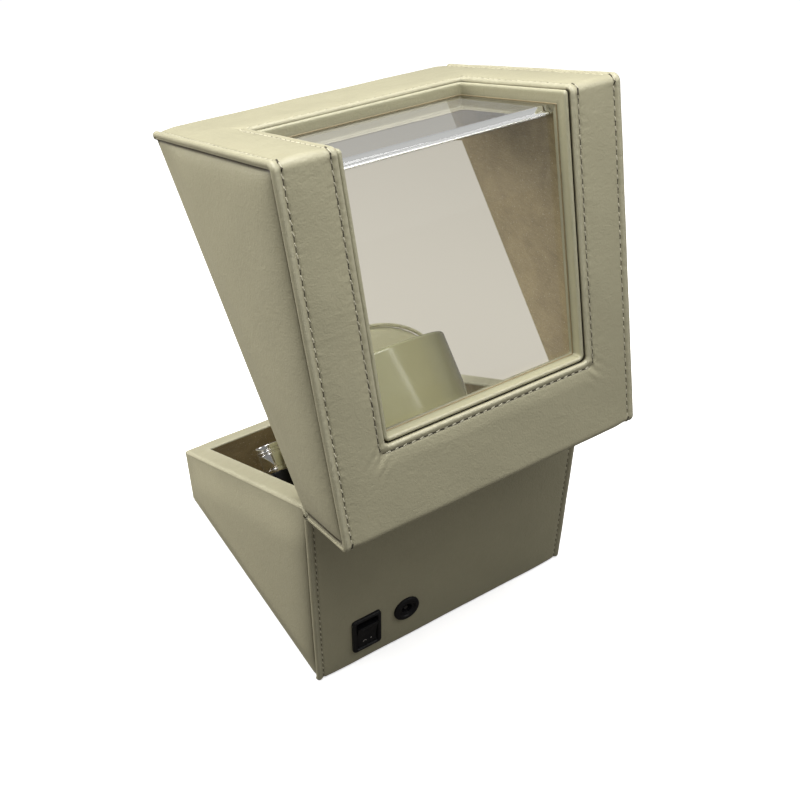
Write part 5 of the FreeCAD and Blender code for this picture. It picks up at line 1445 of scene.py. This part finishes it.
pillow = pillow_cover()
local = sim_points(pillow) - FOOT
s, rise, across = local @ UPHILL, local @ AXIS - PILLOW_MID, local @ ACROSS
angle = np.arctan2(rise / PILLOW_RISE, across / PILLOW_HALF)
radial = np.hypot(rise / PILLOW_RISE, across / PILLOW_HALF)
from_end = np.abs(s) - PILLOW_SPAN
on_wall = smoothstep(0.7, 0.88, radial) * smoothstep(1.5, 0, from_end)
channels = np.zeros(len(s))
for line in (-9.5, 0.0, 9.5):
    channels = np.maximum(channels, dip(s - line, 0.8) + 0.35 * dip(s - line, 3.0))
crimp = 0.12 * np.sin(angle * 34 + 0.8 * np.sin(s)) * dip(from_end, 4.5)
shrink = on_wall * (0.75 * channels - crimp) + 0.9 * dip(from_end, 1.0) * (radial > 0.7)
grow = 1 - shrink / 30
round_middle = ACROSS * (across * grow)[:, None] + AXIS * (PILLOW_MID + rise * grow)[:, None]
co = FOOT + round_middle + UPHILL * s[:, None]
pillow.data.vertices.foreach_set("co", (co * MM).reshape(-1))
# painted shade in the pillow's quilted channels
shades = {"crease": 0.35 * np.clip(channels, 0, 1) * on_wall, "worn": np.zeros(len(s))}
for key, value in shades.items():
    layer = pillow.data.attributes.get(key) or pillow.data.attributes.new(key, "FLOAT", "POINT")
    layer.data.foreach_set("value", value.astype(np.float32))
pillow.data.update()
pillow.data.materials.clear()
pillow.data.materials.append(MATERIALS["pillow_leather"])
pillow.data.shade_smooth()
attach(pillow, "pillow")
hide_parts("watch_pillow", "pillow_caps")

PIPING, PIPING_AROUND = 0.85, 96
parts = []
for s in (-PILLOW_SPAN - 0.3, PILLOW_SPAN + 0.3):
    loops = []
    for t in np.arange(PIPING_AROUND) * 2 * math.pi / PIPING_AROUND:
        away = ACROSS * math.cos(t) / PILLOW_HALF + AXIS * math.sin(t) / PILLOW_RISE
        away /= np.linalg.norm(away)
        turns = np.arange(10)[:, None] * math.pi / 5
        ring = PIPING * (away * np.cos(turns) + UPHILL * np.sin(turns))
        loops.append(pillow_point(t, s, 0.945) + ring)
    parts.append(tube(loops))
piece("pillow_piping", *joined(parts), "pillow_leather", "pillow")

# ---------------------------------------------------------------- the CAD pieces that stay

for name, obj in frame["nodes"].items():
    if obj.hide_render:
        continue
    for index, kept in enumerate(obj.data.materials):
        slot_name = kept.name.split(".")[0]
        # the inlet's pin gets the near-black metal of painted shade
        obj.data.materials[index] = SHADED_PIN_METAL if name == "inlet_pin" else MATERIALS[slot_name]

# ---------------------------------------------------------------- camera, floor and light

CAMERA_AT = (0.1880, 0.3156, 0.3762)
HEADING, DIP, LEAN = (math.radians(a) for a in (-33.29, 38.37, 0.38))
camera_data = bpy.data.cameras.new("camera")
camera_data.lens = 44.2
camera_data.sensor_width = 36.0
camera_data.clip_start = 0.01
camera = new_object("camera", camera_data)
level = math.cos(DIP)
ahead = Vector((level * math.sin(HEADING), -level * math.cos(HEADING), -math.sin(DIP)))
right = Vector((-math.cos(HEADING), -math.sin(HEADING), 0))
above = right.cross(ahead)
right, above = (
    right * math.cos(LEAN) + above * math.sin(LEAN),
    above * math.cos(LEAN) - right * math.sin(LEAN),
)
turn = Matrix((right, above, -ahead)).transposed()
camera.matrix_world = Matrix.Translation(CAMERA_AT) @ turn.to_4x4()
bpy.context.scene.camera = camera

# The floor's colour and glow differ for rays straight from the camera, rays that came through the
# pane, and the rays that light the object.
FLOOR_SEEN, GLOW_SEEN = (0.95, 0.95, 0.95), (1.0, 1.0, 1.0)
FLOOR_THROUGH, GLOW_THROUGH = (0.2, 0.19, 0.165), (0.62, 0.58, 0.5)
FLOOR_BOUNCE, GLOW_BOUNCE = (0.16, 0.15, 0.135), (0.0, 0.0, 0.0)
FLOOR_REACH = 4000
n = Nodes("pale_floor")
path = n.light_path()
through = n.past_pane(path)
tone = n.mix(path["Is Camera Ray"], n.mix(through, FLOOR_BOUNCE, FLOOR_THROUGH), FLOOR_SEEN)
glow = n.mix(path["Is Camera Ray"], n.mix(through, GLOW_BOUNCE, GLOW_THROUGH), GLOW_SEEN)
floor_material = n.principled(
    Base_Color=tone,
    Roughness=0.9,
    Specular_IOR_Level=0.1,
    Emission_Color=glow,
    Emission_Strength=0.6,
)
corners = [(x * FLOOR_REACH, y * FLOOR_REACH, 0) for x, y in ((-1, -1), (1, -1), (1, 1), (-1, 1))]
floor = new_object("floor", new_mesh("floor", corners, [(0, 1, 2, 3)]))
floor.data.materials.append(floor_material)

middle = Vector((cad_box[0] + cad_box[1]) / 2)


def area_light(name, where, size, power, colour, shines=True):
    """A lamp aimed at the middle of the object. One that doesn't shine leaves no highlight."""
    data = bpy.data.lights.new(name, "AREA")
    data.shape = "RECTANGLE"
    data.size, data.size_y = size
    data.energy = power
    data.color = colour
    lamp = new_object(name, data)
    lamp.location = middle + Vector(where)
    lamp.rotation_euler = (-Vector(where)).to_track_quat("-Z", "Y").to_euler()
    lamp.visible_camera = False
    lamp.visible_glossy = shines


area_light("overhead", (0.04, 0.02, 0.70), (0.7, 0.6), 8.2, (1.0, 0.995, 0.985))
area_light("left_fill", (0.7, -0.45, 0.3), (0.45, 0.3), 1.7, (1.0, 0.98, 0.95))
area_light("front_fill", (0.34, -0.42, 0.1), (0.3, 0.2), 1.6, (1.0, 0.98, 0.95), False)
area_light("right_fill", (-0.5, 0.42, 0.6), (0.4, 0.4), 1.5, (1.0, 0.99, 0.98))

WORLD_LIGHT, WORLD_SEEN, THROUGH_SHARE = 0.22, 0.85, 0.55
n = Nodes("studio", bpy.data.worlds)
path = n.light_path()
through = n.math("MULTIPLY", n.past_pane(path), THROUGH_SHARE)
seen = n.math("MAXIMUM", path["Is Camera Ray"], through)
inputs = {
    "Color": (1.0, 1.0, 0.99, 1.0),
    "Strength": n.range(seen, 0.0, 1.0, WORLD_LIGHT, WORLD_SEEN),
}
background = n.add("ShaderNodeBackground", inputs).outputs[0]
bpy.context.scene.world = n.finish(background, "ShaderNodeOutputWorld")
bpy.context.scene.view_settings.view_transform = "Standard"
